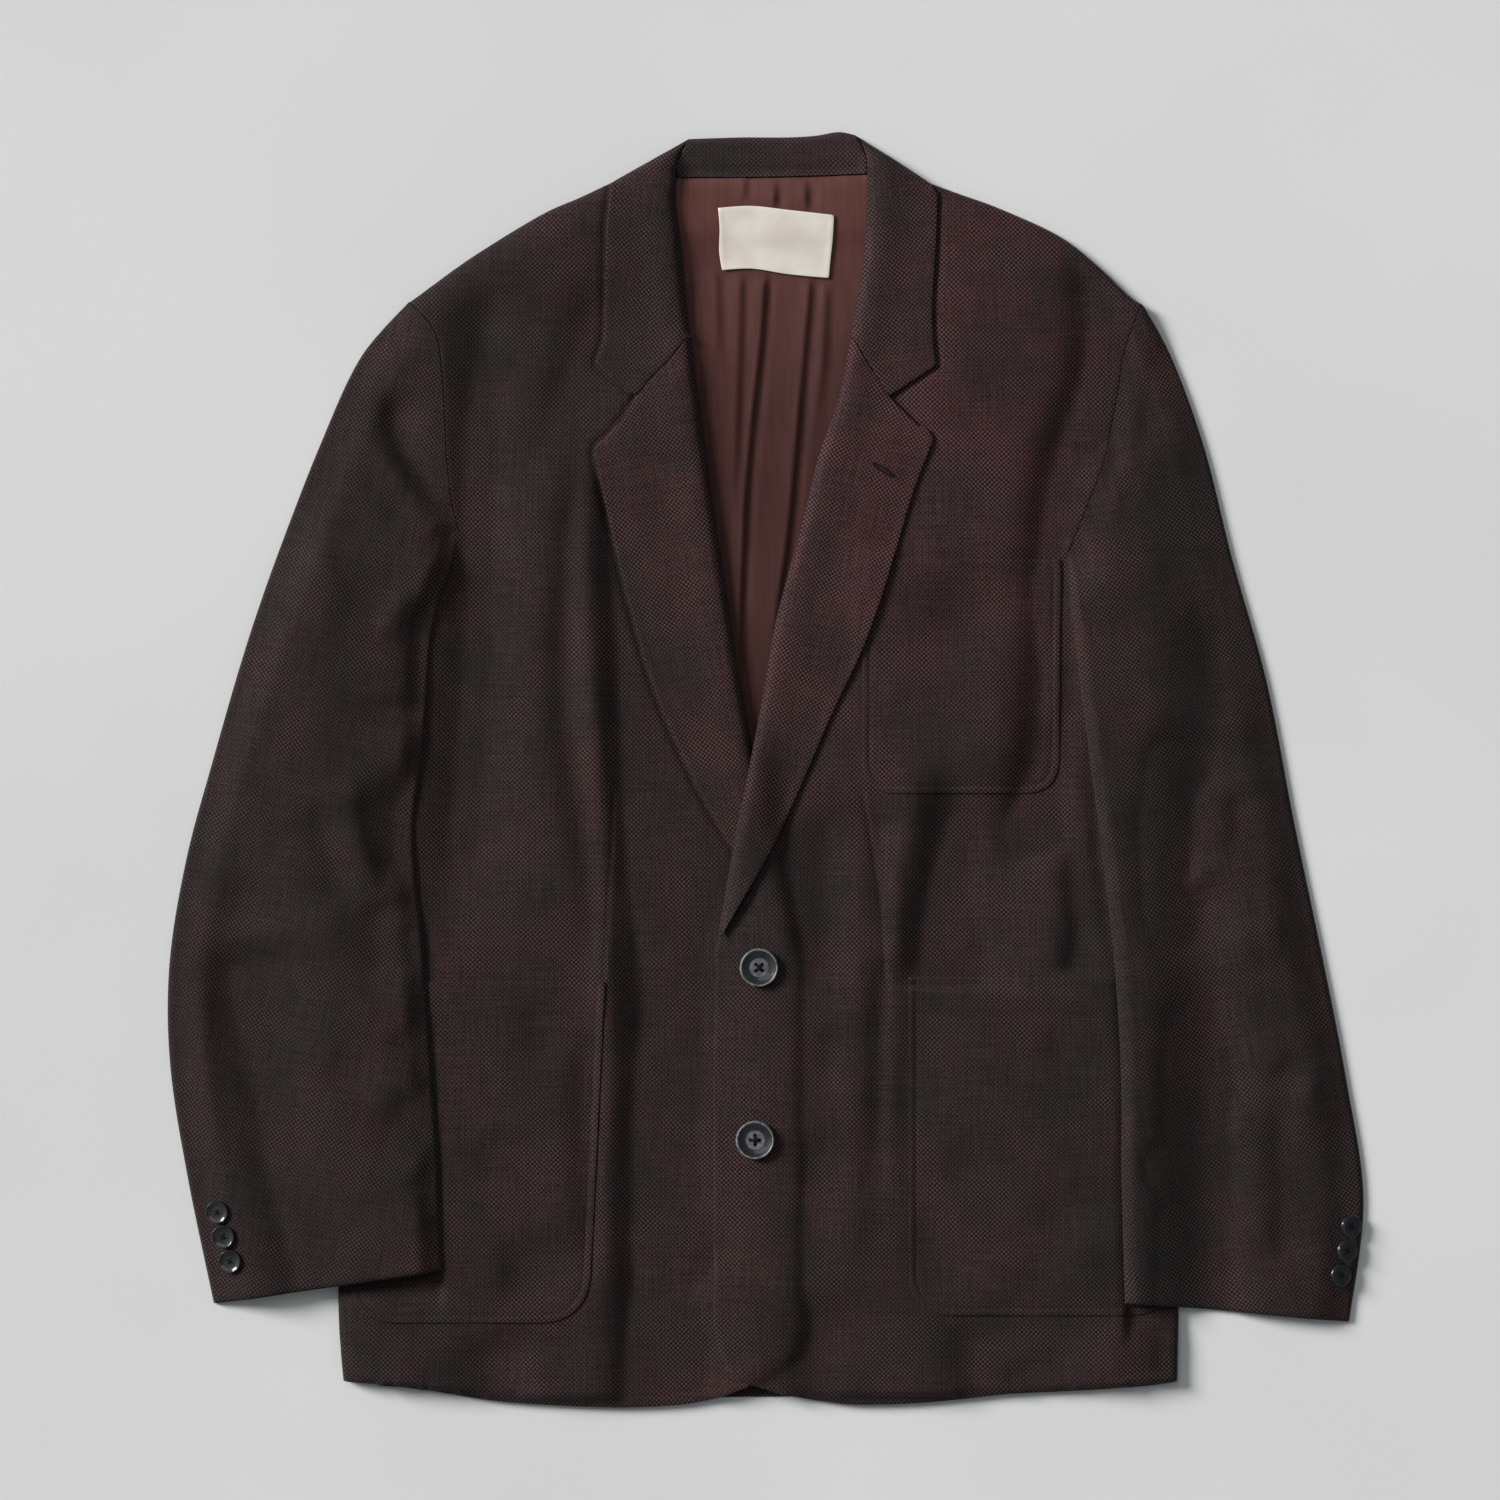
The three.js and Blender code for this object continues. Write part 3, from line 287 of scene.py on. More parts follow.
STAND_OUTLINE = joined(
    COLLAR_TOP, COLLAR_ROLL_L[:below(COLLAR_ROLL_L, 363)], NECK_SEAM,
    rev(COLLAR_ROLL_R[:below(COLLAR_ROLL_R, 363)]))
FALL_OUTLINE = joined(rev(NECK_R), COLLAR_TOP, NECK_L, FALL_EDGE)


# Each station of a sleeve: its outer edge, its inner edge, and how much it follows the armhole.
RIGHT_STATIONS = np.array([
    (-217.8, 284.3, -187.3, 144, 1), (-247.7, 250.7, -188.6, 138, 0.8),
    (-273.3, 195.2, -191.8, 122, 0.5), (-296.5, 134.8, -198.5, 102, 0.3),
    (-317.8, 73.2, -204, 72, 0.1), (-338.6, 2.4, -207.5, 16, 0), (-354.4, -56.7, -214, -40, 0),
    (-364.5, -120, -208.5, -104, 0), (-364, -182, -203.5, -172, 0), (-353, -252, -199, -240, 0),
    (-337.3, -327, -197, -305.6, 0)])
LEFT_STATIONS = np.array([
    (229.4, 283, 183.6, 128.7, 1), (248, 250, 185, 116, 0.8), (267.8, 195.2, 187.2, 88, 0.5),
    (285, 127, 191.5, 52, 0.3), (306, 52, 198, 0, 0.1), (323, -35, 204.5, -50, 0),
    (340.4, -118, 211.5, -112, 0), (354.4, -190, 216, -183, 0), (365, -264, 216.5, -250, 0),
    (356.2, -338, 218.4, -325.7, 0)])


# ---------------------------------------------------------------- folds

FOLD_DEPTH = 1.42     # how much deeper the folds are than the heights given below


def fold(points, left, right, rise, ends=(0.2, 0.2)):
    """A fold: its run, the half widths to its left and right, its height (negative in a
    trough) and how fast its ends fade, as a share of its length."""
    return {"line": spline(points, 6 * (len(points) - 1)), "left": left, "right": right,
            "rise": rise, "ends": ends}


def crease(points, width, depth, ends=(0.2, 0.2), gentle=2.5):
    """A trough that drops steeply along the points, which are the middle of its steep
    side, and comes up gently on the side of the wearer's left."""
    half = width * 1.08
    axis = [(x + half * 0.7, y) for x, y in points]
    return fold(axis, half * gentle, half, -depth, ends)


BODY_FOLDS = [
    # wearer's right front
    crease([(-181, 303), (-182, 262), (-187, 228), (-190, 190), (-191, 160), (-191, 130),
            (-191, 100), (-192, 60), (-195, 20), (-198, -20), (-201, -60), (-201, -125)],
           18, 5.4, (0.08, 0.2), 1.5),
    crease([(-102, 312), (-112, 285), (-122, 262), (-130, 238), (-139, 213), (-147, 190),
            (-151, 160)], 17, 4.0, (0.25, 0.4)),
    fold([(-150, 300), (-158, 260), (-160, 220)], 14, 14, 1.2, (0.3, 0.4)),
    fold([(-109, 200), (-110, 160), (-110, 110), (-107, 60), (-103, 0), (-100, -60),
          (-97, -130), (-95, -200), (-98, -260), (-96, -340)], 8, 9, 2.0, (0.08, 0.1)),
    crease([(-117, 212), (-121, 170), (-126, 130), (-129, 90), (-130, 50), (-128, 20),
            (-122, -10), (-116, -40), (-111, -80), (-107, -130)], 10, 3.0, (0.15, 0.15), 1.3),
    crease([(-99, 200), (-98, 140), (-95, 100), (-93, 60), (-92, 20), (-90, -20), (-86, -60),
            (-82, -100), (-79, -140), (-79, -180), (-82, -220), (-81, -260), (-83, -300),
            (-87, -340), (-89, -410)], 14, 6.6, (0.06, 0.02), 3.4),
    crease([(-113, -150), (-116, -200), (-115, -250), (-110, -315)], 10, 2.4, (0.2, 0.2)),
    crease([(-146, -130), (-145, -160), (-146, -190)], 11, 1.4, (0.4, 0.4)),
    crease([(-176, -215), (-174, -240), (-176, -265)], 13, 1.6, (0.4, 0.4)),
    crease([(-159, -280), (-158, -305), (-160, -335)], 11, 2.0, (0.4, 0.3)),
    crease([(-184, -340), (-180, -362), (-178, -410)], 17, 3.2, (0.3, 0.02)),
    fold([(-140, -335), (-138, -360), (-136, -410)], 14, 14, 1.4, (0.4, 0.03)),
    fold([(-222, -330), (-220, -360), (-220, -400)], 15, 15, 1.0, (0.4, 0.05)),
    crease([(-75, -285), (-66, -305), (-62, -322)], 12, 2.2, (0.4, 0.4)),
    crease([(-44, -330), (-56, -352), (-66, -372)], 11, 1.8, (0.4, 0.3)),
    crease([(-66, -362), (-67, -380), (-70, -405)], 10, 1.8, (0.4, 0.03)),
    # wearer's left front
    crease([(181, 318), (187, 292), (190, 264), (187, 238), (179, 214), (171, 190), (164, 160),
            (162, 125), (163, 100), (163, 60), (161, 30), (156, 0), (152, -25), (154, -66)],
           13, 5.2, (0.08, 0.06)),
    crease([(200, 270), (199, 240), (196, 214), (190, 180)], 9, 2.4, (0.35, 0.4)),
    fold([(176, 120), (176, 60), (172, 10)], 7, 7, 1.6, (0.3, 0.3)),
    fold([(140, 100), (138, 30), (132, -40), (130, -110)], 16, 22, 1.6),
    crease([(118, 140), (112, 110), (104, 84), (98, 58)], 20, 2.8, (0.3, 0.35)),
    crease([(110, 12), (107, -14), (104, -38), (98, -62), (94, -90), (92, -135)],
           17, 6.6, (0.35, 0.02)),
    fold([(90, 20), (87, -35), (81, -85), (78, -125)], 13, 13, 2.4, (0.35, 0.1)),
    crease([(62, -16), (66, -60), (69, -100), (67, -150), (66, -220), (66, -300)],
           7, 2.0, (0.1, 0.4)),
    fold([(78, -30), (79, -100), (77, -180), (76, -280)], 6, 6, 1.1, (0.2, 0.3)),
    fold([(54, -20), (55, -100), (53, -200), (50, -330)], 10, 12, 1.2, (0.2, 0.2)),
    crease([(182, -40), (183, -75), (185, -98), (181, -127)], 8, 3.2, (0.25, 0.05)),
    crease([(196, 30), (199, -20), (201, -60), (207, -100), (212, -140)], 7, 2.8, (0.2, 0.3)),
    crease([(28, -10), (29, -60), (27, -110), (24, -150)], 14, 3.0, (0.25, 0.3)),
    crease([(34, -150), (33, -175), (32, -200)], 10, 1.6, (0.4, 0.4)),
    crease([(25, -215), (26, -245), (24, -270)], 14, 2.2, (0.4, 0.4)),
    crease([(16, -312), (18, -345), (20, -372), (24, -410)], 16, 3.4, (0.3, 0.02)),
    crease([(92, -130), (88, -190), (87, -240), (91, -290), (96, -330)], 10, 1.6, (0.05, 0.2)),
    crease([(120, -225), (112, -246), (98, -262)], 14, 1.6, (0.4, 0.4)),
    crease([(170, -250), (168, -272), (166, -290)], 12, 1.6, (0.4, 0.4)),
    crease([(178, -160), (172, -176), (166, -190)], 12, 1.2, (0.4, 0.4)),
    crease([(114, -326), (114, -350), (116, -372), (120, -410)], 16, 3.4, (0.3, 0.02)),
    crease([(190, -356), (170, -362), (150, -370), (136, -384)], 9, 1.6, (0.4, 0.3)),
    crease([(230, -330), (238, -352), (241, -376)], 12, 2.4, (0.3, 0.2)),
    fold([(140, -290), (142, -312), (140, -328)], 14, 16, 1.0, (0.4, 0.3)),
    fold([(194, -280), (194, -305), (192, -325)], 16, 16, 1.2, (0.4, 0.3)),
    fold([(54, -350), (52, -372), (52, -400)], 12, 14, 1.2, (0.4, 0.03)),
    fold([(212, -330), (214, -350), (212, -375)], 12, 14, 1.2, (0.4, 0.3)),
]

SLEEVE_FOLDS = [
    # wearer's right sleeve
    crease([(-233, 234), (-232, 208), (-227, 195), (-214, 181), (-200, 165)], 9, 4.0,
           (0.25, 0.15)),
    fold([(-240, 200), (-227, 182), (-211, 162), (-197, 142)], 8, 8, 1.8, (0.25, 0.1)),
    crease([(-244, 168), (-226, 152), (-204, 142)], 10, 1.8, (0.4, 0.3)),
    fold([(-276, 170), (-268, 120), (-266, 76)], 14, 16, 1.8, (0.3, 0.4)),
    fold([(-214, 110), (-226, 92), (-234, 72)], 8, 8, 1.4, (0.3, 0.4)),
    crease([(-219, 110), (-215, 76), (-214, 46), (-216, 14)], 12, 5.0, (0.35, 0.35)),
    crease([(-238, 46), (-240, 32), (-244, 18)], 16, 2.0, (0.4, 0.4)),
    fold([(-217, 6), (-220, -14), (-222, -36), (-220, -58), (-214, -78)], 15, 15, -4.6,
         (0.3, 0.3)),
    fold([(-252, 4), (-251, -35), (-242, -64), (-230, -84)], 8, 14, 2.8, (0.3, 0.3)),
    crease([(-281, -14), (-276, -38), (-268, -64), (-262, -92)], 11, 2.6, (0.3, 0.4)),
    crease([(-246, -78), (-243, -98), (-246, -140)], 12, 2.2, (0.2, 0.4)),
    crease([(-326, -60), (-327, -84), (-324, -106)], 14, 1.8, (0.4, 0.4)),
    crease([(-337, -98), (-333, -135), (-324, -170), (-315, -205), (-312, -235),
            (-305, -262), (-297, -290), (-293, -330)], 16, 5.2, (0.12, 0.03)),
    crease([(-220, -92), (-217, -108), (-212, -124)], 10, 2.4, (0.3, 0.3)),
    crease([(-236, -160), (-222, -172), (-208, -182)], 9, 1.8, (0.4, 0.2)),
    crease([(-280, -180), (-262, -190), (-238, -196)], 8, 1.2, (0.4, 0.4)),
    crease([(-238, -200), (-222, -214), (-208, -228)], 9, 2.2, (0.4, 0.2)),
    crease([(-256, -226), (-232, -232), (-206, -234)], 10, 1.2, (0.4, 0.3)),
    crease([(-222, -244), (-212, -258), (-206, -270)], 8, 2.0, (0.4, 0.2)),
    fold([(-258, -280), (-254, -300), (-252, -330)], 16, 18, 0.9, (0.4, 0.03)),
    fold([(-346, -110), (-342, -180), (-332, -236)], 8, 8, 1.0, (0.3, 0.3)),
    # wearer's left sleeve
    crease([(226, 264), (229, 240), (225, 215), (228, 186)], 10, 3.0, (0.25, 0.4)),
    fold([(220, 236), (213, 212), (204, 182)], 6, 7, 1.8, (0.3, 0.3)),
    fold([(226, 232), (220, 200), (213, 170), (206, 140)], 7, 7, 1.8, (0.3, 0.3)),
    crease([(238, 216), (240, 180), (247, 140), (255, 90), (262, 50), (264, 10)],
           27, 3.2, (0.2, 0.3), 1.4),
    crease([(232, 36), (236, 4), (231, -36), (231, -72), (236, -100), (236, -130)],
           15, 4.4, (0.25, 0.25), 1.5),
    crease([(262, 28), (262, 6), (266, -20)], 20, 2.6, (0.4, 0.4)),
    fold([(246, -80), (262, -68), (280, -52)], 8, 8, 1.6, (0.4, 0.4)),
    crease([(280, -6), (282, -34), (279, -62)], 9, 2.8, (0.3, 0.3)),
    fold([(276, -112), (298, -102), (320, -100)], 12, 14, 1.6, (0.4, 0.3)),
    fold([(264, -112), (266, -160), (268, -200), (267, -240), (265, -280), (263, -350)],
         30, 26, -5.0, (0.28, 0.04)),
    crease([(233, -226), (234, -246), (236, -262)], 10, 2.8, (0.4, 0.4)),
    crease([(309, -190), (308, -240), (311, -310)], 9, 2.6, (0.3, 0.2)),
    crease([(302, -182), (314, -190), (328, -198)], 6, 1.6, (0.3, 0.4)),
    crease([(348, -206), (344, -240), (346, -278), (350, -320)], 16, 3.6, (0.25, 0.2)),
    fold([(290, -200), (289, -215), (290, -235)], 8, 8, 1.2, (0.4, 0.4)),
    fold([(326, -176), (328, -196), (326, -240)], 9, 9, 1.2, (0.4, 0.4)),
    crease([(322, -30), (328, -70), (332, -108)], 10, 2.0, (0.3, 0.4)),
]

BACK_FOLDS = [
    fold([(-120, 280), (-130, 180), (-126, 60), (-140, -60)], 22, 26, 1.0),
    fold([(130, 270), (128, 160), (140, 40), (132, -80)], 24, 22, 1.0),
    fold([(-40, 300), (-44, 200), (-36, 90)], 16, 18, 0.8),
    fold([(52, 290), (46, 180), (54, 60)], 18, 16, 0.8),
    fold([(-190, 60), (-186, -80), (-196, -220), (-190, -400)], 20, 24, 1.1, (0.2, 0.05)),
    fold([(196, 40), (190, -90), (200, -230), (194, -400)], 22, 20, 1.1, (0.2, 0.05)),
    fold([(-90, -60), (-84, -180), (-92, -400)], 20, 20, 1.0, (0.2, 0.05)),
    fold([(84, -90), (92, -210), (84, -400)], 20, 20, 1.0, (0.2, 0.05)),
]


def relief(folds, x, y):
    total = np.zeros(np.shape(x))
    for f in folds:
        reach = max(f["left"], f["right"]) * 2.4
        line = f["line"]
        near = ((x > line[:, 0].min() - reach) & (x < line[:, 0].max() + reach)
                & (y > line[:, 1].min() - reach) & (y < line[:, 1].max() + reach))
        if not near.any():
            continue
        d, side, place = distance(line, x[near], y[near])
        half = np.where(side > 0, f["left"], f["right"])
        across = np.exp(-(d / half) ** 2)
        start, end = f["ends"]
        fade = smooth(place, 0, start) * smooth(1 - place, 0, end)
        total[near] += f["rise"] * FOLD_DEPTH * across * fade
    return total


# ---------------------------------------------------------------- heights of the layers

STEP = 2.0
GX = np.arange(-400, 400.1, STEP)
GY = np.arange(-420, 420.1, STEP)
MX, MY = np.meshgrid(GX, GY)


def shifted(field, radius, axis):
    """The field moved along an axis by each whole step from -radius to radius."""
    padded = np.pad(field, [(radius, radius) if a == axis else (0, 0) for a in (0, 1)],
                    mode="edge")
    for k in range(2 * radius + 1):
        yield padded[k:k + len(field), :] if axis == 0 else padded[:, k:k + field.shape[1]]


def blur(field, sigma):
    radius = int(math.ceil(sigma * 2.5 / STEP))
    weights = np.exp(-0.5 * (np.arange(-radius, radius + 1) * STEP / sigma) ** 2)
    weights /= weights.sum()
    for axis in (0, 1):
        field = sum(w * part for w, part in zip(weights, shifted(field, radius, axis)))
    return field


def swell(field, reach):
    """The highest value within reach of each point."""
    radius = int(round(reach / STEP))
    for axis in (0, 1):
        field = np.max(list(shifted(field, radius, axis)), axis=0)
    return field


def sample(field, x, y):
    u = np.clip((np.asarray(x) - GX[0]) / STEP, 0, len(GX) - 1.001)
    v = np.clip((np.asarray(y) - GY[0]) / STEP, 0, len(GY) - 1.001)
    i = u.astype(int)
    j = v.astype(int)
    fu = u - i
    fv = v - j
    return ((field[j, i] * (1 - fu) + field[j, i + 1] * fu) * (1 - fv)
            + (field[j + 1, i] * (1 - fu) + field[j + 1, i + 1] * fu) * fv)


def layer(outline, own, wall, below_layers, reach=6.0, soft=4.0):
    """The bottom of a sheet over what it lies on; its top is a wall higher."""
    support = np.zeros_like(MX)
    for other in below_layers:
        support = np.maximum(support, np.where(other["mask"], other["top"] + GAP, 0))
    support = blur(swell(support, reach), soft)
    bottom = np.maximum(own, support)
    return {"mask": inside(outline, MX, MY), "bottom": bottom, "top": bottom + wall}


edge_distance = np.full(MX.shape, 1e9)
for line in (SIDE_L, SIDE_R, SHOULDER_L, SHOULDER_R, NECK_L, NECK_R):
    edge_distance = np.minimum(edge_distance, distance(line[::2] if len(line) > 8 else line,
                                                       MX, MY)[0])
by_armhole = np.minimum(distance(ARMHOLE_L, MX, MY)[0], distance(ARMHOLE_R, MX, MY)[0]) < 16
inward = np.where(inside(BACK_OUTLINE, MX, MY) | by_armhole, edge_distance, 0)
edge_rise = 1 - quarter(inward, BODY_EDGE) / BODY_EDGE
from_neck = np.minimum(distance(ROLL_L, MX, MY)[0], distance(ROLL_R, MX, MY)[0])
from_neck = np.where(MY < -60, from_neck + (-60 - MY), from_neck)
hollow = NECK_HOLLOW + (BODY_HOLLOW - NECK_HOLLOW) * smooth(from_neck, -20, 80)


def under_sleeve(stations, out, start, end):
    """How far the body is pressed down where a sleeve lies on it, from 0 to 1."""
    line = catmull(stations[:, 2:4], np.linspace(0, len(stations) - 1, 60))
    d, side, _ = distance(line, MX, MY)
    beyond = d * np.where(side * out > 0, 1, -1)
    cuff = stations[-1, 3]
    return smooth(beyond, start, end) * smooth(150 - MY, 0, 34) * smooth(MY - cuff, -30, -6)


pressed = np.maximum(under_sleeve(RIGHT_STATIONS, -1, -1, 9),
                     under_sleeve(LEFT_STATIONS, 1, -5, 8))
hollow = hollow * (1 - pressed) + PRESSED_HOLLOW * pressed
body_relief = relief(BODY_FOLDS, MX, MY) * (1 - pressed)
unevenness = 0.3 * lumps(MX, MY, 34, 1.3) + 0.22 * lumps(MX, MY, 15, 4.1)
FRONT_HEIGHT = (WALL["back"] + GAP + hollow * edge_rise
                + (np.maximum(body_relief, 0.2 - hollow) + unevenness) * smooth(inward, 0, 14))
LAPEL_HEIGHT = WALL["back"] + GAP + NECK_HOLLOW + WALL["front"] + GAP

ZERO = np.zeros_like(MX)
fall_layer = layer(FALL_OUTLINE, ZERO, SLEEVE_WALL, [])
back_lift = np.maximum(relief(BACK_FOLDS, MX, MY), 0) * smooth(inward, 0, 18)
back_layer = layer(BACK_OUTLINE, ZERO, WALL["back"], [fall_layer])
lining_layer = layer(LINING_OUTLINE, ZERO, WALL["lining"] + GAP, [back_layer], 2, 3)
front_r = layer(FRONT_R_OUTLINE, FRONT_HEIGHT, WALL["front"], [back_layer, lining_layer], 4, 5)
lapel_r = layer(LAPEL_R_OUTLINE, ZERO + LAPEL_HEIGHT, WALL["lapel"],
                [back_layer, lining_layer, front_r], 5, 5)
front_l = layer(FRONT_L_OUTLINE, FRONT_HEIGHT, WALL["front"],
                [back_layer, lining_layer, front_r, lapel_r], 5, 5)
chest_layer = layer(CHEST_POCKET, ZERO, WALL["pocket"], [front_l], 2, 3)
lapel_l = layer(LAPEL_L_OUTLINE, ZERO + LAPEL_HEIGHT, WALL["lapel"],
                [back_layer, lining_layer, front_r, lapel_r, front_l, chest_layer], 5, 5)
leaf_l = layer(LEAF_L_OUTLINE, ZERO, WALL["collar"], [back_layer, front_l], 5, 5)
leaf_r = layer(LEAF_R_OUTLINE, ZERO, WALL["collar"], [back_layer, front_r], 5, 5)
stand_layer = layer(STAND_OUTLINE, ZERO, WALL["back"], [fall_layer], 4, 5)


# ---------------------------------------------------------------- making meshes

def add_mesh(name, verts_mm, faces, material, uv=None):
    mesh = bpy.data.meshes.new(name)
    verts = np.array(verts_mm, float)
    verts = np.stack([(verts[:, 0] + SHIFT_X) * MM, (verts[:, 1] + SHIFT_Y) * MM,
                      verts[:, 2] * MM], 1)
    mesh.from_pydata([tuple(v) for v in verts], [], faces)
    mesh.materials.append(material)
    if uv is not None:
        layer_uv = mesh.uv_layers.new(name="UVMap")
        loops = np.empty(len(mesh.loops), int)
        mesh.loops.foreach_get("vertex_index", loops)
        layer_uv.data.foreach_set("uv", (np.array(uv)[loops] * MM).ravel())
    mesh.polygons.foreach_set("use_smooth", [True] * len(mesh.polygons))
    mesh.validate()
    mesh.update()
    obj = bpy.data.objects.new(name, mesh)
    bpy.context.scene.collection.objects.link(obj)
    return obj


def area_of(verts, faces):
    v = np.array(verts)
    f = np.array(faces)
    return np.linalg.norm(np.cross(v[f[:, 1]] - v[f[:, 0]], v[f[:, 2]] - v[f[:, 0]]),
                          axis=1).sum() / 2


def turned(x, y, angle):
    c, s = math.cos(angle), math.sin(angle)
    return np.stack([x * c + y * s, -x * s + y * c], 1)


def sheet_mesh(name, outline, top, wall, material, pitch=3.0, rolls=(), lines=(), grain=0.0,
               bottom=None, rim=None):
    """A closed sheet of cloth within an outline: top(x, y) is its upper face. rolls are
    the lines, with a radius each, along which it turns over; lines get finer rows."""
    rim = wall / 2 if rim is None else rim
    seam_pitch = 2.6    # of the points along edges and rolls
    loop = refine(outline, min(pitch, seam_pitch))
    area = np.sum(loop[:, 0] * np.roll(loop[:, 1], -1) - np.roll(loop[:, 0], -1) * loop[:, 1])
    if area < 0:
        loop = loop[::-1]
    closed = np.vstack([loop[-1:], loop, loop[:1]])
    # Rows of points, each with the distance to the edge that it keeps.
    rows = [(offset(closed, depth)[1:-1], depth * 0.9) for depth in (rim * 0.35, rim * 1.05)]
    for line, radius in rolls:
        fine = resample(line, seam_pitch)
        for depth in (0.12, 0.3, 0.55, 0.85, 1.2):
            for side in (-1, 1):
                rows.append((offset(fine, side * radius * depth), radius * depth * 0.9))
    for line, half in lines:
        fine = resample(line, 2.0)
        for share in (-1.0, -0.5, 0, 0.5, 1.0):
            rows.append((offset(fine, share * half), rim * 1.3))
    chosen = []
    for points, keep in rows:
        ok = inside(loop, points[:, 0], points[:, 1])
        points = points[ok]
        if len(points):
            d = distance(loop, points[:, 0], points[:, 1], closed=True)[0]
            chosen.append(points[d >= keep])
    fine_points = np.vstack(chosen)
    x0, y0 = loop.min(0)
    x1, y1 = loop.max(0)
    grid = []
    for r, y in enumerate(np.arange(y0, y1, pitch * 0.9)):
        xs = np.arange(x0 + (pitch / 2 if r % 2 else 0), x1, pitch)
        grid.append(np.stack([xs, np.full(len(xs), y)], 1))
    grid = np.vstack(grid)
    grid = grid[inside(loop, grid[:, 0], grid[:, 1])]
    grid = grid[distance(loop, grid[:, 0], grid[:, 1], closed=True)[0] > rim + pitch * 0.5]
    for line, half in [(line, radius * 1.2) for line, radius in rolls] + list(lines):
        d = distance(line, grid[:, 0], grid[:, 1])[0]
        grid = grid[d > half + pitch * 0.4]
    points = np.vstack([loop, fine_points, grid])
    made = delaunay_2d_cdt([Vector(p) for p in points], [], [list(range(len(loop)))], 1, 0.02)
    plan = np.array([tuple(p) for p in made[0]])
    tris = [tuple(f) for f in made[2]]
    x, y = plan[:, 0], plan[:, 1]
    rim_d = distance(loop, x, y, closed=True)[0]
    on_rim = rim_d < 0.01
    flat = top(x, y)
    roll_drop = np.zeros(len(x))
    for line, radius in rolls:
        roll_drop = np.maximum(roll_drop, quarter(distance(line, x, y)[0], radius))
    rim_drop = quarter(rim_d, rim) * (wall / 2 / rim)
    upper = np.maximum(flat - np.maximum(rim_drop, roll_drop), 0.06)
    lower = np.minimum(flat - wall + rim_drop, upper - 0.05)
    if bottom is not None:
        lower = np.minimum(bottom(x, y) + rim_drop, upper - 0.05)
    lower = np.maximum(lower, 0.0)
    middle = np.where(on_rim, (upper + lower) / 2, upper)
    middle = np.where(on_rim & (roll_drop > wall / 2), upper, middle)
    count = len(x)
    verts = np.vstack([np.stack([x, y, middle], 1), np.stack([x, y, lower], 1)])
    faces = []
    for a, b, c in tris:
        cross = (x[b] - x[a]) * (y[c] - y[a]) - (x[c] - x[a]) * (y[b] - y[a])
        if cross < 0:
            b, c = c, b
        faces.append((a, b, c))
        faces.append(tuple(v if on_rim[v] else v + count for v in (a, c, b)))
    used = np.unique(np.array(faces))
    remap = np.full(2 * count, -1)
    remap[used] = np.arange(len(used))
    verts = verts[used]
    faces = [tuple(int(remap[v]) for v in f) for f in faces]
    faces = [f for f in faces if len(set(f)) == 3]
    uv = turned(verts[:, 0], verts[:, 1], grain)
    obj = add_mesh(name, verts, faces, material, uv)
    half_area = area_of(verts, faces) / 2 * MM * MM
    size = turned(loop[:, 0], loop[:, 1], grain)
    spread = (size.max(0) - size.min(0)) * MM
    return obj, half_area, spread


def finish_piece(obj, nodes=()):
    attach(obj, "root")
    if nodes:
        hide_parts(*nodes)


def cloth(name, slot, node, rests_on, outline, top, wall, material, **shape):
    """One cut piece: its mesh, its cut and the node that it stands for."""
    obj, area, spread = sheet_mesh(name, outline, top, wall, material, **shape)
    finish_piece(obj, [node])


# ---------------------------------------------------------------- materials

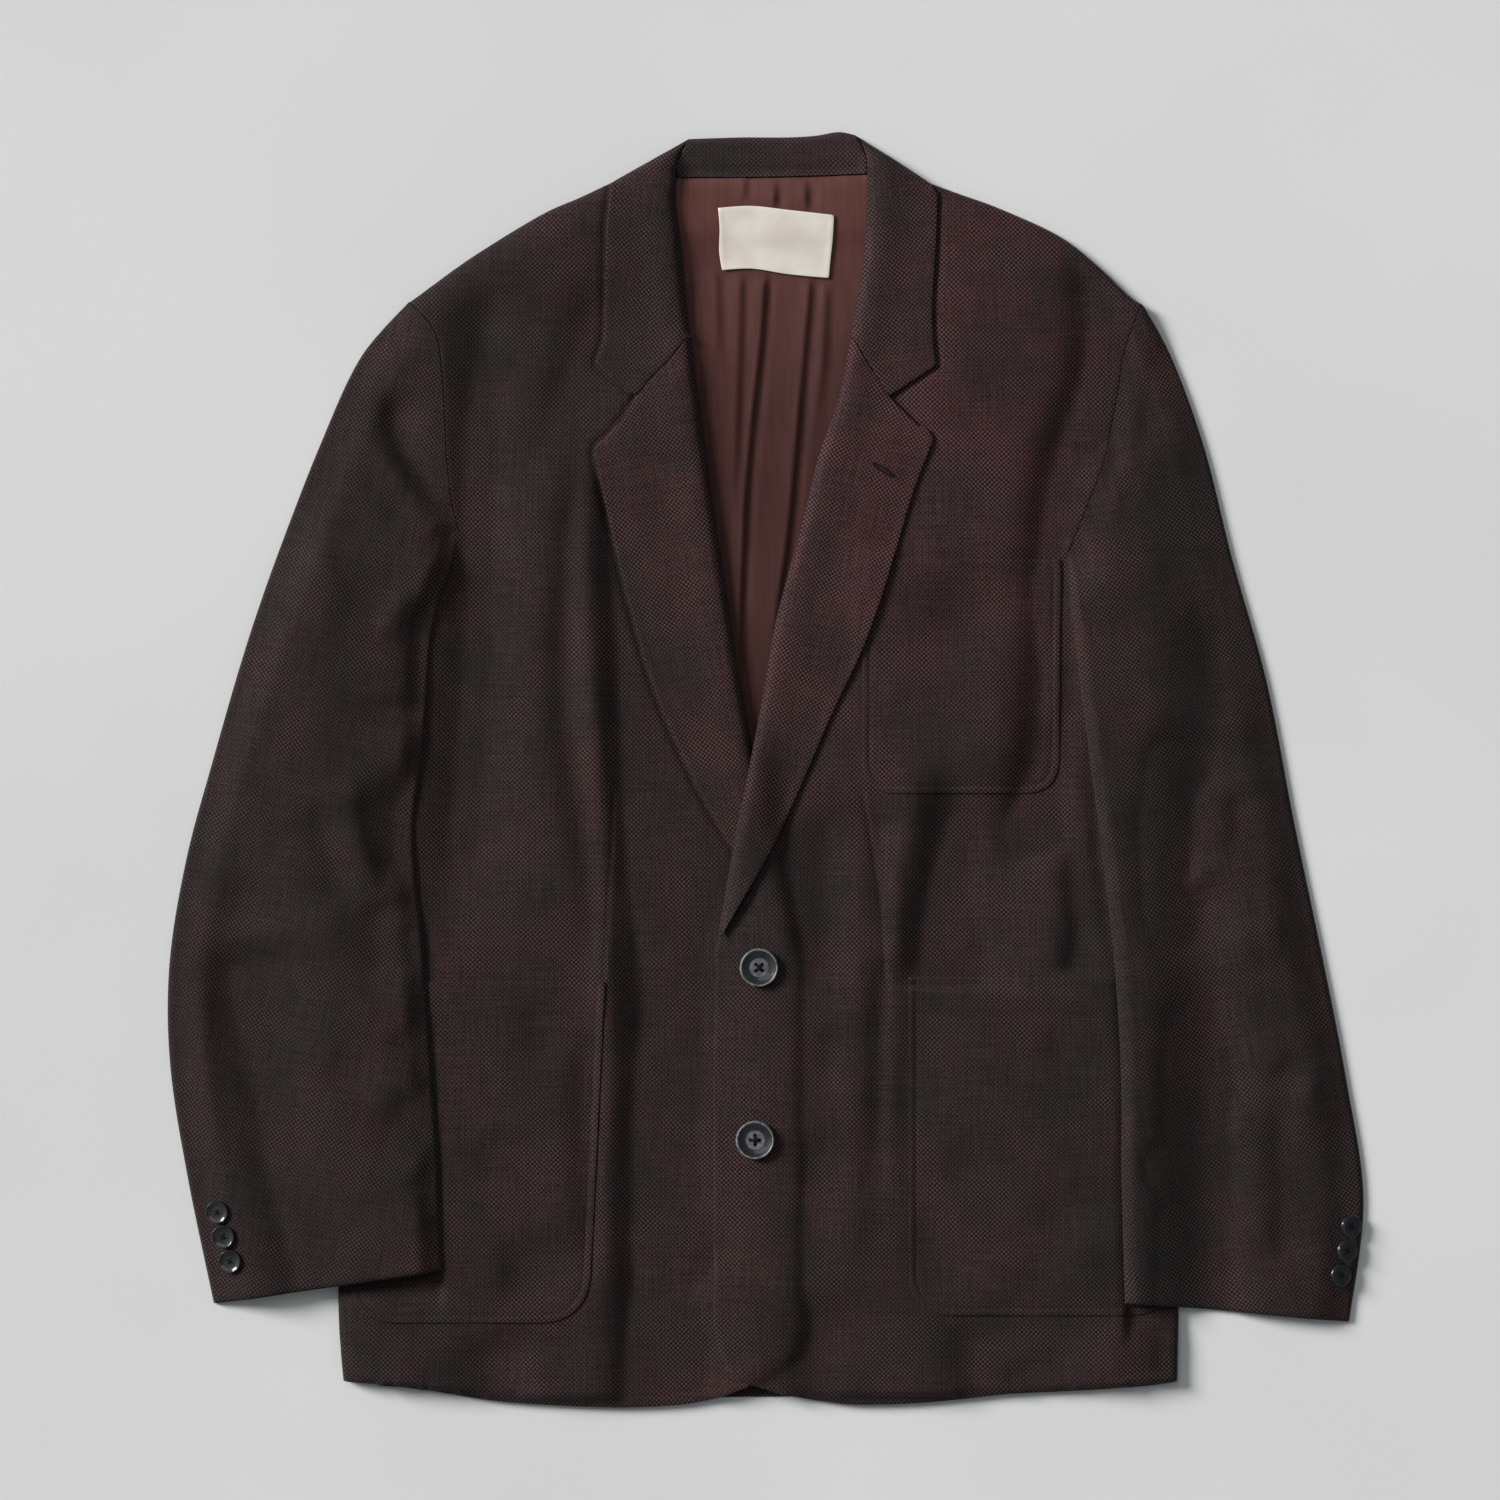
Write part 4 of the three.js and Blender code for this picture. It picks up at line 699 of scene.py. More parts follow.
class Nodes:
    """A short way to write a material's nodes."""

    def __init__(self, name):
        self.material = bpy.data.materials.new(name)
        self.material.use_nodes = True
        self.tree = self.material.node_tree
        self.shader = next(n for n in self.tree.nodes if n.type == "BSDF_PRINCIPLED")

    def put(self, socket, value):
        if isinstance(value, bpy.types.NodeSocket):
            self.tree.links.new(value, socket)
        elif value is not None:
            socket.default_value = value

    def math(self, op, a, b=None, c=None):
        node = self.tree.nodes.new("ShaderNodeMath")
        node.operation = op
        for socket, value in zip(node.inputs, (a, b, c)):
            self.put(socket, value)
        return node.outputs[0]

    def mul(self, a, b):
        return self.math("MULTIPLY", a, b)

    def add(self, a, b):
        return self.math("ADD", a, b)

    def sub(self, a, b):
        return self.math("SUBTRACT", a, b)

    def stretch(self, vector, by):
        return self.vector("MULTIPLY", vector, by)

    def vector(self, op, a, b=None, scale=None):
        node = self.tree.nodes.new("ShaderNodeVectorMath")
        node.operation = op
        self.put(node.inputs[0], a)
        if b is not None:
            self.put(node.inputs[1], b)
        if scale is not None:
            self.put(node.inputs["Scale"], scale)
        return node.outputs[0]

    def uv(self):
        node = self.tree.nodes.new("ShaderNodeUVMap")
        node.uv_map = "UVMap"
        return node.outputs[0]

    def place(self):
        return self.tree.nodes.new("ShaderNodeTexCoord").outputs["Object"]

    def noise(self, vector, scale, detail=2.0, rough=0.5, colour=False):
        node = self.tree.nodes.new("ShaderNodeTexNoise")
        self.put(node.inputs["Vector"], vector)
        node.inputs["Scale"].default_value = scale
        node.inputs["Detail"].default_value = detail
        node.inputs["Roughness"].default_value = rough
        return node.outputs["Color" if colour else "Fac"]

    def ranged(self, value, low, high, to_low=0.0, to_high=1.0):
        node = self.tree.nodes.new("ShaderNodeMapRange")
        node.interpolation_type = "SMOOTHSTEP"
        self.put(node.inputs["Value"], value)
        node.inputs["From Min"].default_value = low
        node.inputs["From Max"].default_value = high
        node.inputs["To Min"].default_value = to_low
        node.inputs["To Max"].default_value = to_high
        return node.outputs["Result"]

    def mix(self, factor, a, b, blend="MIX"):
        node = self.tree.nodes.new("ShaderNodeMix")
        node.data_type = "RGBA"
        node.blend_type = blend
        self.put(node.inputs[0], factor)
        self.put(node.inputs[6], a)
        self.put(node.inputs[7], b)
        return node.outputs[2]

    def split(self, vector):
        node = self.tree.nodes.new("ShaderNodeSeparateXYZ")
        self.put(node.inputs[0], vector)
        return node.outputs[0], node.outputs[1]

    def bump(self, height, strength, depth):
        node = self.tree.nodes.new("ShaderNodeBump")
        node.inputs["Strength"].default_value = strength
        node.inputs["Distance"].default_value = depth
        self.put(node.inputs["Height"], height)
        self.put(self.shader.inputs["Normal"], node.outputs[0])

    def set(self, **values):
        for name, value in values.items():
            self.put(self.shader.inputs[name.replace("_", " ")], value)


    def tint(self, base, factor, low, high):
        """The base multiplied by a tone between low and high."""
        return self.mix(1.0, base, self.mix(factor, low, high), "MULTIPLY")


def colour(r, g, b):
    return (r, g, b, 1.0)


WHITE = colour(1.0, 1.0, 1.0)
WEAVE_PITCH = 0.0028       # two cells of the basket weave, in metres
TWILL_PITCH = 0.0007
TAPE_PITCH = 0.0011
FINE_RELIEF = 0.0002       # depth of the relief of smooth materials


def linen(name, warm, dark):
    """A small basket weave of reddish brown and near-black threads with a few pale slubs, with
    light and shade painted in by position.
    """
    n = Nodes(name)
    uv = n.uv()
    wobble = n.vector("SUBTRACT", n.noise(uv, 55.0, 2.0, 0.5, colour=True), (0.5, 0.5, 0.5))
    moved = n.vector("ADD", uv, n.vector("SCALE", wobble, scale=0.0022))
    cells = n.vector("SCALE", moved, scale=2 * math.pi / WEAVE_PITCH)
    u, v = n.split(cells)
    check = n.mul(n.math("SINE", u), n.math("SINE", v))
    warp = n.ranged(check, -0.3, 0.4)
    # The weave stands out more in some patches than in others.
    strength = n.ranged(n.noise(uv, 24.0, 3.0, 0.6), 0.4, 0.62, 0.5, 1.2)
    threads_u = n.math("ABSOLUTE", n.math("SINE", u))
    threads_v = n.math("ABSOLUTE", n.math("SINE", v))
    rounded = n.add(n.mul(warp, threads_u), n.mul(n.sub(1.0, warp), threads_v))
    flecks = n.noise(uv, 520.0, 3.0, 0.65)
    along_u = n.noise(n.stretch(uv, (1.0, 26.0, 1.0)), 34.0, 2.0, 0.6)
    along_v = n.noise(n.stretch(uv, (26.0, 1.0, 1.0)), 34.0, 2.0, 0.6)
    heather = n.add(n.mul(n.add(along_u, along_v), 0.5), n.mul(n.sub(flecks, 0.5), 0.5))
    share = n.add(n.mul(n.sub(warp, 0.5), strength), n.mul(n.ranged(heather, 0.3, 0.7), 0.45))
    share = n.add(share, 0.26)
    base = n.mix(n.ranged(share, 0.0, 1.0), dark, warm)
    patches = n.noise(n.stretch(uv, (1.0, 0.45, 1.0)), 14.0, 3.0, 0.55)
    base = n.mix(n.ranged(patches, 0.35, 0.7, 0.0, 0.42), base,
                 colour(dark[0] * 1.5, dark[1] * 1.6, dark[2] * 1.5))
    dots = n.mul(n.ranged(check, 0.45, 0.85), n.ranged(strength, 0.7, 1.2))
    base = n.mix(n.mul(dots, 0.5), base,
                 colour(warm[0] * 2.1, warm[1] * 2.3, warm[2] * 2.3))
    slubs = n.math("MAXIMUM", n.ranged(along_u, 0.74, 0.82), n.ranged(along_v, 0.75, 0.83))
    base = n.mix(n.mul(slubs, 0.16), base, colour(0.16, 0.11, 0.1))
    x, y = n.split(n.place())
    # Painted light: the upper part of the wearer's left front is lighter and redder, where light
    # falls on it, and the rest of the cloth is a little darker.
    painted_light_mask = n.mul(n.ranged(y, -0.09, 0.2), n.ranged(x, -0.12, 0.07))
    painted_light_mask = n.mul(painted_light_mask, n.ranged(x, 0.15, 0.23, 1.0, 0.0))
    base = n.tint(base, painted_light_mask, colour(0.89, 0.93, 0.90), colour(1.42, 1.15, 1.21))
    # Painted shade: the cloth is darker over the outer part of each sleeve.
    base = n.tint(base, n.ranged(x, 0.255, 0.29), WHITE, colour(0.86, 0.87, 0.87))
    base = n.tint(base, n.ranged(x, -0.26, -0.2), colour(0.75, 0.74, 0.74), WHITE)
    # Painted shade: a darker, greyer band runs down the hollow of the left sleeve, where its fold
    # lies in shade.
    high = n.ranged(y, -0.06, 0.0)
    low = n.ranged(y, -0.17, -0.13, 1.0, 0.0)
    middle = n.add(n.mul(high, 0.018), n.mul(low, 0.012))
    middle = n.add(middle, 0.236)
    reach = n.add(n.mul(n.add(high, low), 0.017), 0.017)
    painted_shade_band = n.math("DIVIDE", n.math("ABSOLUTE", n.sub(x, middle)), reach)
    painted_shade_band = n.ranged(painted_shade_band, 0.25, 1.0, 1.0, 0.0)
    painted_shade_band = n.mul(painted_shade_band, n.mul(n.ranged(y, -0.345, -0.31), n.ranged(y, 0.16, 0.25, 1.0, 0.0)))
    shade_tone = n.mix(n.ranged(y, -0.14, -0.06), colour(0.76, 0.88, 0.90), colour(0.80, 0.90, 0.94))
    base = n.tint(base, painted_shade_band, WHITE, shade_tone)
    tone = n.noise(n.stretch(n.place(), (1.0, 1.0, 0.0)), 22.0, 2.0, 0.6)
    base = n.tint(base, n.ranged(tone, 0.38, 0.62), colour(0.87, 0.95, 0.94),
                  colour(1.17, 0.98, 1.01))
    n.set(Base_Color=base, Roughness=n.ranged(heather, 0.3, 0.7, 0.86, 0.72))
    n.set(Specular_IOR_Level=0.16, Sheen_Weight=0.05, Sheen_Roughness=0.45)
    n.shader.inputs["Sheen Tint"].default_value = colour(0.72, 0.85, 0.9)
    height = n.add(n.mul(rounded, 0.7), n.mul(flecks, 0.5))
    n.bump(height, 0.55, 0.0005)
    return n.material


def lining_cloth():
    n = Nodes("lining_satin")
    uv = n.uv()
    streaks = n.noise(n.stretch(uv, (14.0, 1.0, 1.0)), 30.0, 3.0, 0.55)
    fine = n.noise(n.stretch(uv, (1.0, 0.25, 1.0)), 1400.0, 2.0, 0.6)
    soft = n.noise(uv, 22.0, 2.0, 0.5)
    base = n.mix(n.ranged(streaks, 0.25, 0.78), colour(0.050, 0.0180, 0.0150),
                 colour(0.062, 0.0230, 0.0190))
    base = n.mix(n.ranged(soft, 0.4, 0.75, 0.0, 0.35), base, colour(0.038, 0.015, 0.0135))
    # Painted light: the lining is lighter towards the neck and darker lower down.
    up = n.ranged(n.split(n.place())[1], 0.2, 0.36)
    base = n.tint(base, up, colour(0.80, 0.78, 0.78), colour(1.6, 1.6, 1.66))
    n.set(Base_Color=base, Roughness=n.ranged(streaks, 0.3, 0.7, 0.7, 0.6))
    n.set(Specular_IOR_Level=0.14, Anisotropic=0.3, Sheen_Weight=0.03, Sheen_Roughness=0.35)
    u, v = n.split(n.vector("SCALE", uv, scale=2 * math.pi / TWILL_PITCH))
    twill = n.math("SINE", n.add(u, n.mul(v, 0.5)))
    n.bump(n.add(n.mul(twill, 0.4), fine), 0.25, FINE_RELIEF)
    return n.material


def label_cloth():
    n = Nodes("label_tape")
    uv = n.uv()
    u, v = n.split(n.vector("SCALE", uv, scale=2 * math.pi / TAPE_PITCH))
    ribs = n.mul(n.math("SINE", u), n.math("SINE", v))
    soft = n.noise(uv, 60.0, 3.0, 0.5)
    fine = n.noise(uv, 1500.0, 2.0, 0.6)
    base = n.mix(n.ranged(soft, 0.3, 0.75), colour(0.565, 0.513, 0.458), colour(0.64, 0.598, 0.543))
    base = n.mix(n.ranged(fine, 0.5, 0.8, 0.0, 0.2), base, colour(0.56, 0.49, 0.42))
    n.set(Base_Color=base, Roughness=n.ranged(soft, 0.3, 0.7, 0.82, 0.9))
    n.set(Specular_IOR_Level=0.25, Sheen_Weight=0.1)
    n.bump(n.add(n.mul(ribs, 0.5), fine), 0.35, FINE_RELIEF)
    return n.material


def horn(name, low, high):
    n = Nodes(name)
    place = n.place()
    swirl = n.noise(n.stretch(place, (1.0, 0.5, 1.0)), 160.0, 4.0, 0.6)
    fine = n.noise(place, 1300.0, 2.0, 0.5)
    base = n.mix(n.ranged(swirl, 0.35, 0.7), low, high)
    n.set(Base_Color=base, Roughness=n.ranged(swirl, 0.3, 0.7, 0.42, 0.55))
    n.set(Specular_IOR_Level=0.2, Coat_Weight=0.6, Coat_Roughness=0.07)
    n.bump(n.add(fine, n.mul(swirl, 0.5)), 0.12, FINE_RELIEF)
    return n.material


def speckled(name, scale, detail, span, low, high, rough, relief, **shine):
    """A dark material with one noise for its colour, its roughness and its relief."""
    n = Nodes(name)
    speck = n.noise(n.place(), scale, detail, 0.6)
    base = n.mix(n.ranged(speck, *span), low, high)
    n.set(Base_Color=base, Roughness=n.ranged(speck, 0.3, 0.7, *rough))
    n.set(**shine)
    n.bump(speck, relief, FINE_RELIEF)
    return n.material


def floor_board():
    n = Nodes("floor_paper")
    place = n.place()
    soft = n.noise(place, 2.2, 3.0, 0.5)
    fine = n.noise(place, 260.0, 3.0, 0.6)
    base = n.mix(n.ranged(soft, 0.3, 0.7), colour(0.56, 0.56, 0.56), colour(0.60, 0.60, 0.598))
    base = n.mix(n.ranged(fine, 0.6, 0.8, 0.0, 0.12), base, colour(0.5, 0.5, 0.49))
    n.set(Base_Color=base, Roughness=0.75, Specular_IOR_Level=0.2)
    n.bump(fine, 0.08, 0.0006)
    return n.material


WARM = colour(0.0506, 0.0244, 0.0229)
DARK = colour(0.0034, 0.0033, 0.0038)
LINEN = linen("linen_weave", WARM, DARK)
# Painted light: the lapels get a lighter, redder copy of the linen.
LINEN_LIT_LAPEL = linen("linen_lit_lapel", colour(0.0610, 0.0278, 0.0260), DARK)
LINEN_COLLAR = linen("linen_collar", colour(0.0455, 0.0235, 0.0220), DARK)
# Painted shade: the collar stand gets a darker, greyer copy of the linen.
LINEN_SHADED = linen("linen_shaded", colour(0.039, 0.0245, 0.024), colour(0.0078, 0.0068, 0.0076))
LINING = lining_cloth()
LABEL_CLOTH = label_cloth()
HORN = horn("button_horn", colour(0.006, 0.0066, 0.009), colour(0.015, 0.016, 0.021))
HORN_DARK = horn("button_black", colour(0.0025, 0.003, 0.0038), colour(0.008, 0.0085, 0.0105))
# Painted highlight: the pale rim of the front buttons.
HORN_RIM_HIGHLIGHT = speckled(
    "button_rim_highlight", 420.0, 3.0, (0.3, 0.72), colour(0.05, 0.051, 0.056), colour(0.17, 0.17, 0.178),
    (0.36, 0.5), 0.15, Specular_IOR_Level=0.6, Coat_Weight=0.2, Coat_Roughness=0.25)
# Painted highlight: the lighter middle of the front buttons, around their holes.
HORN_MIDDLE_HIGHLIGHT = speckled(
    "button_middle_highlight", 300.0, 3.0, (0.3, 0.72), colour(0.05, 0.05, 0.058), colour(0.13, 0.13, 0.14),
    (0.3, 0.42), 0.12, Specular_IOR_Level=0.5, Coat_Weight=0.2, Coat_Roughness=0.15)
THREAD = speckled(
    "sewing_thread", 2200.0, 2.0, (0.3, 0.7), colour(0.003, 0.003, 0.0035),
    colour(0.009, 0.008, 0.008), (0.8, 0.95), 0.4, Specular_IOR_Level=0.15)


# ---------------------------------------------------------------- body pieces

def groove(line, x, y, width, depth, ridge=0.0):
    """A stitched line: a narrow groove, with a low ridge on the left of its run."""
    d, side, _ = distance(line, x, y)
    value = -depth * np.exp(-(d / width) ** 2)
    if ridge:
        value += ridge * np.exp(-((d - width * 2.2) / (width * 1.6)) ** 2) * (side > 0)
    return value


DART_R = spline([(-93, -16), (-95, -60), (-99, -128)], 20)
DART_L = spline([(59.2, -16.5), (69.5, -79.9), (72.6, -127)], 20)
CENTRE_SEAM = [(2, 352), (1, 100), (0, -383)]

# Just outside their edges the lapels and the collar press a fine groove into the fronts.
EDGES_R = [offset(joined(LAPEL_R_EDGE[::-1], LAPEL_R_POINT[::-1], [GORGE_R[-1]]), 1.5),
           offset(joined([GORGE_R[-1]], LEAF_R), 1.5)]
EDGES_L = [offset(joined([GORGE_L[-1]], LEAF_L), -1.2),
           offset(joined([GORGE_L[-1]], LAPEL_L_POINT), 1.2)]


def front_top(level, edges, width, depth, dart, dart_depth, turned_edge):
    """The upper face of a front, a little thicker where its edge is turned in."""
    def top(x, y):
        z = sample(level["top"], x, y)
        for line in edges:
            z = z + groove(line, x, y, width, depth)
        z = z + groove(dart, x, y, 1.2, dart_depth, 0.25)
        return z + 0.35 * np.exp(-(distance(turned_edge, x, y)[0] / 5.0) ** 2)
    return top


OPENING_L = [(-31, -112), (-32.3, -200), (-31.7, -340)]
front_left_top = front_top(front_l, EDGES_L, 1.6, 1.1, DART_L, 0.55,
                           joined(OPENING_L, rev(CORNER_L), HEM_L[::-1]))
front_right_top = front_top(front_r, EDGES_R, 1.8, 1.3, DART_R, 0.5, HEM_R)


def back_level(x, y):
    return sample(back_layer["bottom"], x, y) + sample(back_lift, x, y)


def back_bottom(x, y):
    """The underside, drawn in along the centre seam."""
    return back_level(x, y) + 0.7 * np.exp(-(distance(CENTRE_SEAM, x, y)[0] / 1.4) ** 2)


def back_top(x, y):
    return back_level(x, y) + CLOTH


cloth("back_cloth", "linen", "back", ["floor"], BACK_OUTLINE, back_top, CLOTH, LINEN,
      pitch=4.4, lines=[(CENTRE_SEAM, 2.4)], bottom=back_bottom)
cloth("front_left_cloth", "linen", "front_left", ["back_cloth"], FRONT_L_OUTLINE,
      front_left_top, CLOTH, LINEN, pitch=2.8,
      rolls=[(ROLL_L, 3.0), (SIDE_L, 2.4), (SHOULDER_L, 2.4)],
      lines=[(DART_L, 2.6)] + [(line, 3.2) for line in EDGES_L])
cloth("front_right_cloth", "linen", "front_right", ["back_cloth"], FRONT_R_OUTLINE,
      front_right_top, CLOTH, LINEN, pitch=2.8,
      rolls=[(ROLL_R, 3.0), (SIDE_R, 2.4), (SHOULDER_R, 2.4)],
      lines=[(DART_R, 2.6)] + [(line, 3.2) for line in EDGES_R])


def lapel_form(level, roll, edge):
    def top(x, y):
        z = sample(level["bottom"], x, y) + LAPEL_CLOTH
        d_roll = distance(roll, x, y)[0]
        d_edge = distance(edge, x, y)[0]
        z = z + 1.8 * np.exp(-((d_roll - 9) / 13) ** 2) + 0.9 * smooth(d_edge, 2, 26)
        z = z + 0.25 * np.exp(-(d_edge / 2.6) ** 2) - 0.15 * np.exp(-((d_edge - 5.5) / 1.4) ** 2)
        return z + 0.3 * lumps(x, y, 19, 2.2)
    return top


def leaf_form(level, roll):
    def top(x, y):
        z = sample(level["bottom"], x, y) + LAPEL_CLOTH
        d_roll = distance(roll, x, y)[0]
        return z + 2.0 * np.exp(-((d_roll - 9) / 12) ** 2) + 0.3 * lumps(x, y, 17, 0.7)
    return top


def shared(own, other, line):
    """own, drawn to the mean of own and other near the line that they both meet."""
    def top(x, y):
        near = 0.5 * np.exp(-(distance(line, x, y)[0] / 9) ** 2)
        return own(x, y) * (1 - near) + other(x, y) * near
    return top


LAPEL_FORM_R = lapel_form(lapel_r, LAPEL_ROLL_R, LAPEL_R_EDGE)
LAPEL_FORM_L = lapel_form(lapel_l, LAPEL_ROLL_L, LAPEL_L_EDGE)
LEAF_FORM_R = leaf_form(leaf_r, COLLAR_ROLL_R)
LEAF_FORM_L = leaf_form(leaf_l, COLLAR_ROLL_L)
LAPEL_TOP_R = shared(LAPEL_FORM_R, LEAF_FORM_R, GORGE_R)
LAPEL_TOP_L = shared(LAPEL_FORM_L, LEAF_FORM_L, GORGE_L)
LEAF_TOP_R = shared(LEAF_FORM_R, LAPEL_FORM_R, GORGE_R)
LEAF_TOP_L = shared(LEAF_FORM_L, LAPEL_FORM_L, GORGE_L)

cloth("lapel_right_cloth", "linen", "lapel_right", ["front_right_cloth"], LAPEL_R_OUTLINE,
      LAPEL_TOP_R, LAPEL_CLOTH, LINEN_LIT_LAPEL, rolls=[(LAPEL_ROLL_R, ROLL)], grain=0.16, rim=0.6)
cloth("lapel_left_cloth", "linen", "lapel_left", ["front_left_cloth", "lapel_right_cloth"],
      LAPEL_L_OUTLINE, LAPEL_TOP_L, LAPEL_CLOTH, LINEN_LIT_LAPEL, rolls=[(LAPEL_ROLL_L, ROLL)],
      grain=-0.2, rim=0.6)


def parts_of(roll):
    """The roll of a collar leaf, which turns more sharply beside the stand."""
    a, b = below(roll, 366), below(roll, 352)
    return [(roll[:a + 1], 2.4), (roll[a:b + 1], 3.8), (roll[b:], ROLL)]


for name, outline, top, roll, neck, grain in (
        ("collar_leaf_left", LEAF_L_OUTLINE, LEAF_TOP_L, COLLAR_ROLL_L, NECK_L, 0.12),
        ("collar_leaf_right", LEAF_R_OUTLINE, LEAF_TOP_R, COLLAR_ROLL_R, NECK_R, -0.12)):
    cloth(name, "linen", "collar", ["back_cloth"], outline, top, LAPEL_CLOTH, LINEN_COLLAR,
          pitch=2.8, rolls=parts_of(roll) + [(neck, 4.0)], grain=grain, rim=0.6)


def stand_top(x, y):
    z = sample(stand_layer["top"], x, y)
    down = smooth(386 - y, 0, 22)
    z = z + 3.2 * (1 - down) + 1.4 * down
    for form, roll in ((LEAF_FORM_R, COLLAR_ROLL_R), (LEAF_FORM_L, COLLAR_ROLL_L)):
        near = np.exp(-(distance(roll, x, y)[0] / 8) ** 2)
        z = z + (np.maximum(form(x, y) - 1.2, z) - z) * near
    sewn = np.exp(-(distance(NECK_SEAM, x, y)[0] / 5) ** 2)
    z = z + (np.minimum(sample(lining_layer["bottom"], x, y) + 2.6, z) - z) * sewn
    return z + 0.25 * lumps(x, y, 11, 1.1)


cloth("collar_stand", "linen", "collar", ["back_cloth"], STAND_OUTLINE, stand_top, CLOTH,
      LINEN_SHADED, pitch=2.4, rolls=[(COLLAR_TOP, 3.6)], grain=math.pi / 2, rim=0.5)
cloth("collar_fall", "linen", "collar", ["floor"], FALL_OUTLINE,
      lambda x, y: sample(fall_layer["top"], x, y), 1.4, LINEN, pitch=3.4, grain=math.pi / 2)


# ---------------------------------------------------------------- patch pockets

def pocket_top(level, outline, hem_y):
    """A stitched line 4.4 mm in from the edge, and the hem across the opening."""
    def top(x, y):
        z = sample(level["top"], x, y) + POCKET_CLOTH
        d = distance(outline, x, y)[0]
        z = z + 0.2 * smooth(4.2 - d, 0, 1.6) - 0.3 * np.exp(-((d - 4.4) / 0.9) ** 2)
        return z + 0.3 * smooth(y - hem_y, 0, 1.6) - 0.2 * np.exp(-((y - hem_y) / 1.0) ** 2)
    return top


for name, outline, level, host, node in (
        ("chest_pocket_cloth", CHEST_POCKET, front_l, "front_left_cloth", "chest_pocket"),
        ("pocket_left_cloth", POCKET_L, front_l, "front_left_cloth", "pocket_left"),
        ("pocket_right_cloth", POCKET_R, front_r, "front_right_cloth", "pocket_right")):
    hem_y = outline[:, 1].max() - 22
    inset = refine(outline, 2.0)
    sewn_line = offset(np.vstack([inset[-1:], inset, inset[:1]]), 4.3)[1:-1]
    cloth(name, "linen", node, [host], outline, pocket_top(level, outline, hem_y),
          POCKET_CLOTH, LINEN, lines=[(sewn_line, 1.3)])


# ---------------------------------------------------------------- lining and label

def pleat_step(points, rise, gentle, steep, ends):
    return {"line": spline(points, 40), "rise": rise, "gentle": gentle, "steep": steep,
            "ends": ends}


# Each pleat rises gently towards the wearer's left and drops steeply there.
PLEATS = [
    pleat_step([(5, 362), (4, 340), (-1, 300), (-4, 260), (-9, 214), (-13, 170), (-15, 130),
                (-17, 80), (-18, 30)], 1.7, 9.0, 1.7, (0.05, 0.1)),
    pleat_step([(23, 362), (24, 335), (26, 298), (23, 260), (19, 214), (16, 180), (12, 140),
                (8, 112), (0, 60)], 1.6, 8.0, 1.9, (0.05, 0.2)),
    pleat_step([(-31, 306), (-30, 270), (-29, 240)], 1.0, 7.0, 2.0, (0.1, 0.5)),
    pleat_step([(-16, 306), (-17, 260), (-19, 200), (-22, 150)], 1.3, 7.0, 2.0, (0.05, 0.4)),
    pleat_step([(36, 300), (34, 250), (28, 200)], 1.1, 6.0, 2.4, (0.15, 0.5)),
    pleat_step([(-14, 362), (-14, 352), (-15, 343)], 0.9, 5.0, 1.6, (0.05, 0.5)),
]


def lining_top(x, y):
    z = sample(lining_layer["bottom"], x, y) + 1.1
    # The label holds the pleats down where it is sewn on.
    beyond = distance(LABEL, x, y, closed=True)[0] * np.where(inside(LABEL, x, y), 0, 1)
    loose = 0.2 + 0.8 * smooth(beyond, 0, 9)
    for p in PLEATS:
        d, side, place = distance(p["line"], x, y)
        signed = d * np.where(side > 0, 1, -1)   # the run is downwards: left of it is +x
        gentle = np.exp(-np.maximum(-signed, 0) / p["gentle"])
        steep = np.exp(-(np.maximum(signed, 0) / p["steep"]) ** 2)
        fade = smooth(place, 0, p["ends"][0]) * smooth(1 - place, 0, p["ends"][1])
        dip = -0.45 * np.exp(-((signed - p["steep"] * 2.6) / (p["steep"] * 1.6)) ** 2)
        z = z + p["rise"] * loose * fade * (np.where(signed > 0, steep, gentle) + dip)
    return z + 0.25 * lumps(x, y * 0.4, 12, 3.3)


cloth("lining_cloth", "lining", "back_lining", ["back_cloth"], LINING_OUTLINE, lining_top,
      0.6, LINING, pitch=2.0, lines=[(p["line"], 3.0) for p in PLEATS[:2]],
      bottom=lambda x, y: sample(lining_layer["bottom"], x, y))


def label_top(x, y):
    lift = lining_top(np.array(x), np.array(y))
    base = sample(lining_layer["bottom"], x, y) + 2.5
    d = distance(LABEL, x, y, closed=True)[0]
    curl = 0.25 * smooth(4 - d, 0, 4)
    return np.maximum(base, lift * 0.5 + base * 0.5) + curl + 0.25 * lumps(x, y, 14, 0.4)


# The label's edges run a little wavy from corner to corner.
WAVES = ([(-9, 342.9), (14, 340.4)], [(40.9, 324), (39.4, 310)], [(14, 301.2), (-8, 304.6)],
         [(-28.6, 315), (-28.3, 329)])
label_outline = joined(*[
    spline([start, *between, end], count) for start, between, end, count in zip(
        LABEL, WAVES, np.roll(LABEL, -1, axis=0), (16, 10, 16, 10))])
cloth("neck_label", "label", "label", ["lining_cloth"], label_outline, label_top, 0.7,
      LABEL_CLOTH, pitch=2.0, grain=-0.06)


# ---------------------------------------------------------------- sleeves

# How high the body, and the body with its pocket, carries a sleeve.
CARRY = {"plain": 9.4, "pocket": 11.2, "from": -76, "to": -112}
SLEEVE_RIM = 3.2           # radius of a sleeve's turned edges
SLEEVE_LEAN = 0.17         # how far a sleeve's grain leans outwards, in radians
UNDER_EDGE = 0.7           # thickness of the under sleeve at its two seams
SLEEVE_GRID = (230, 60)    # cells along and across a sleeve
ZONE_L = joined([(0, 128.7)], UNDERARM_L, SIDE_L, [(0, -374)])
ZONE_R = joined([(0, 144)], UNDERARM_R, SIDE_R, [(0, -374)])


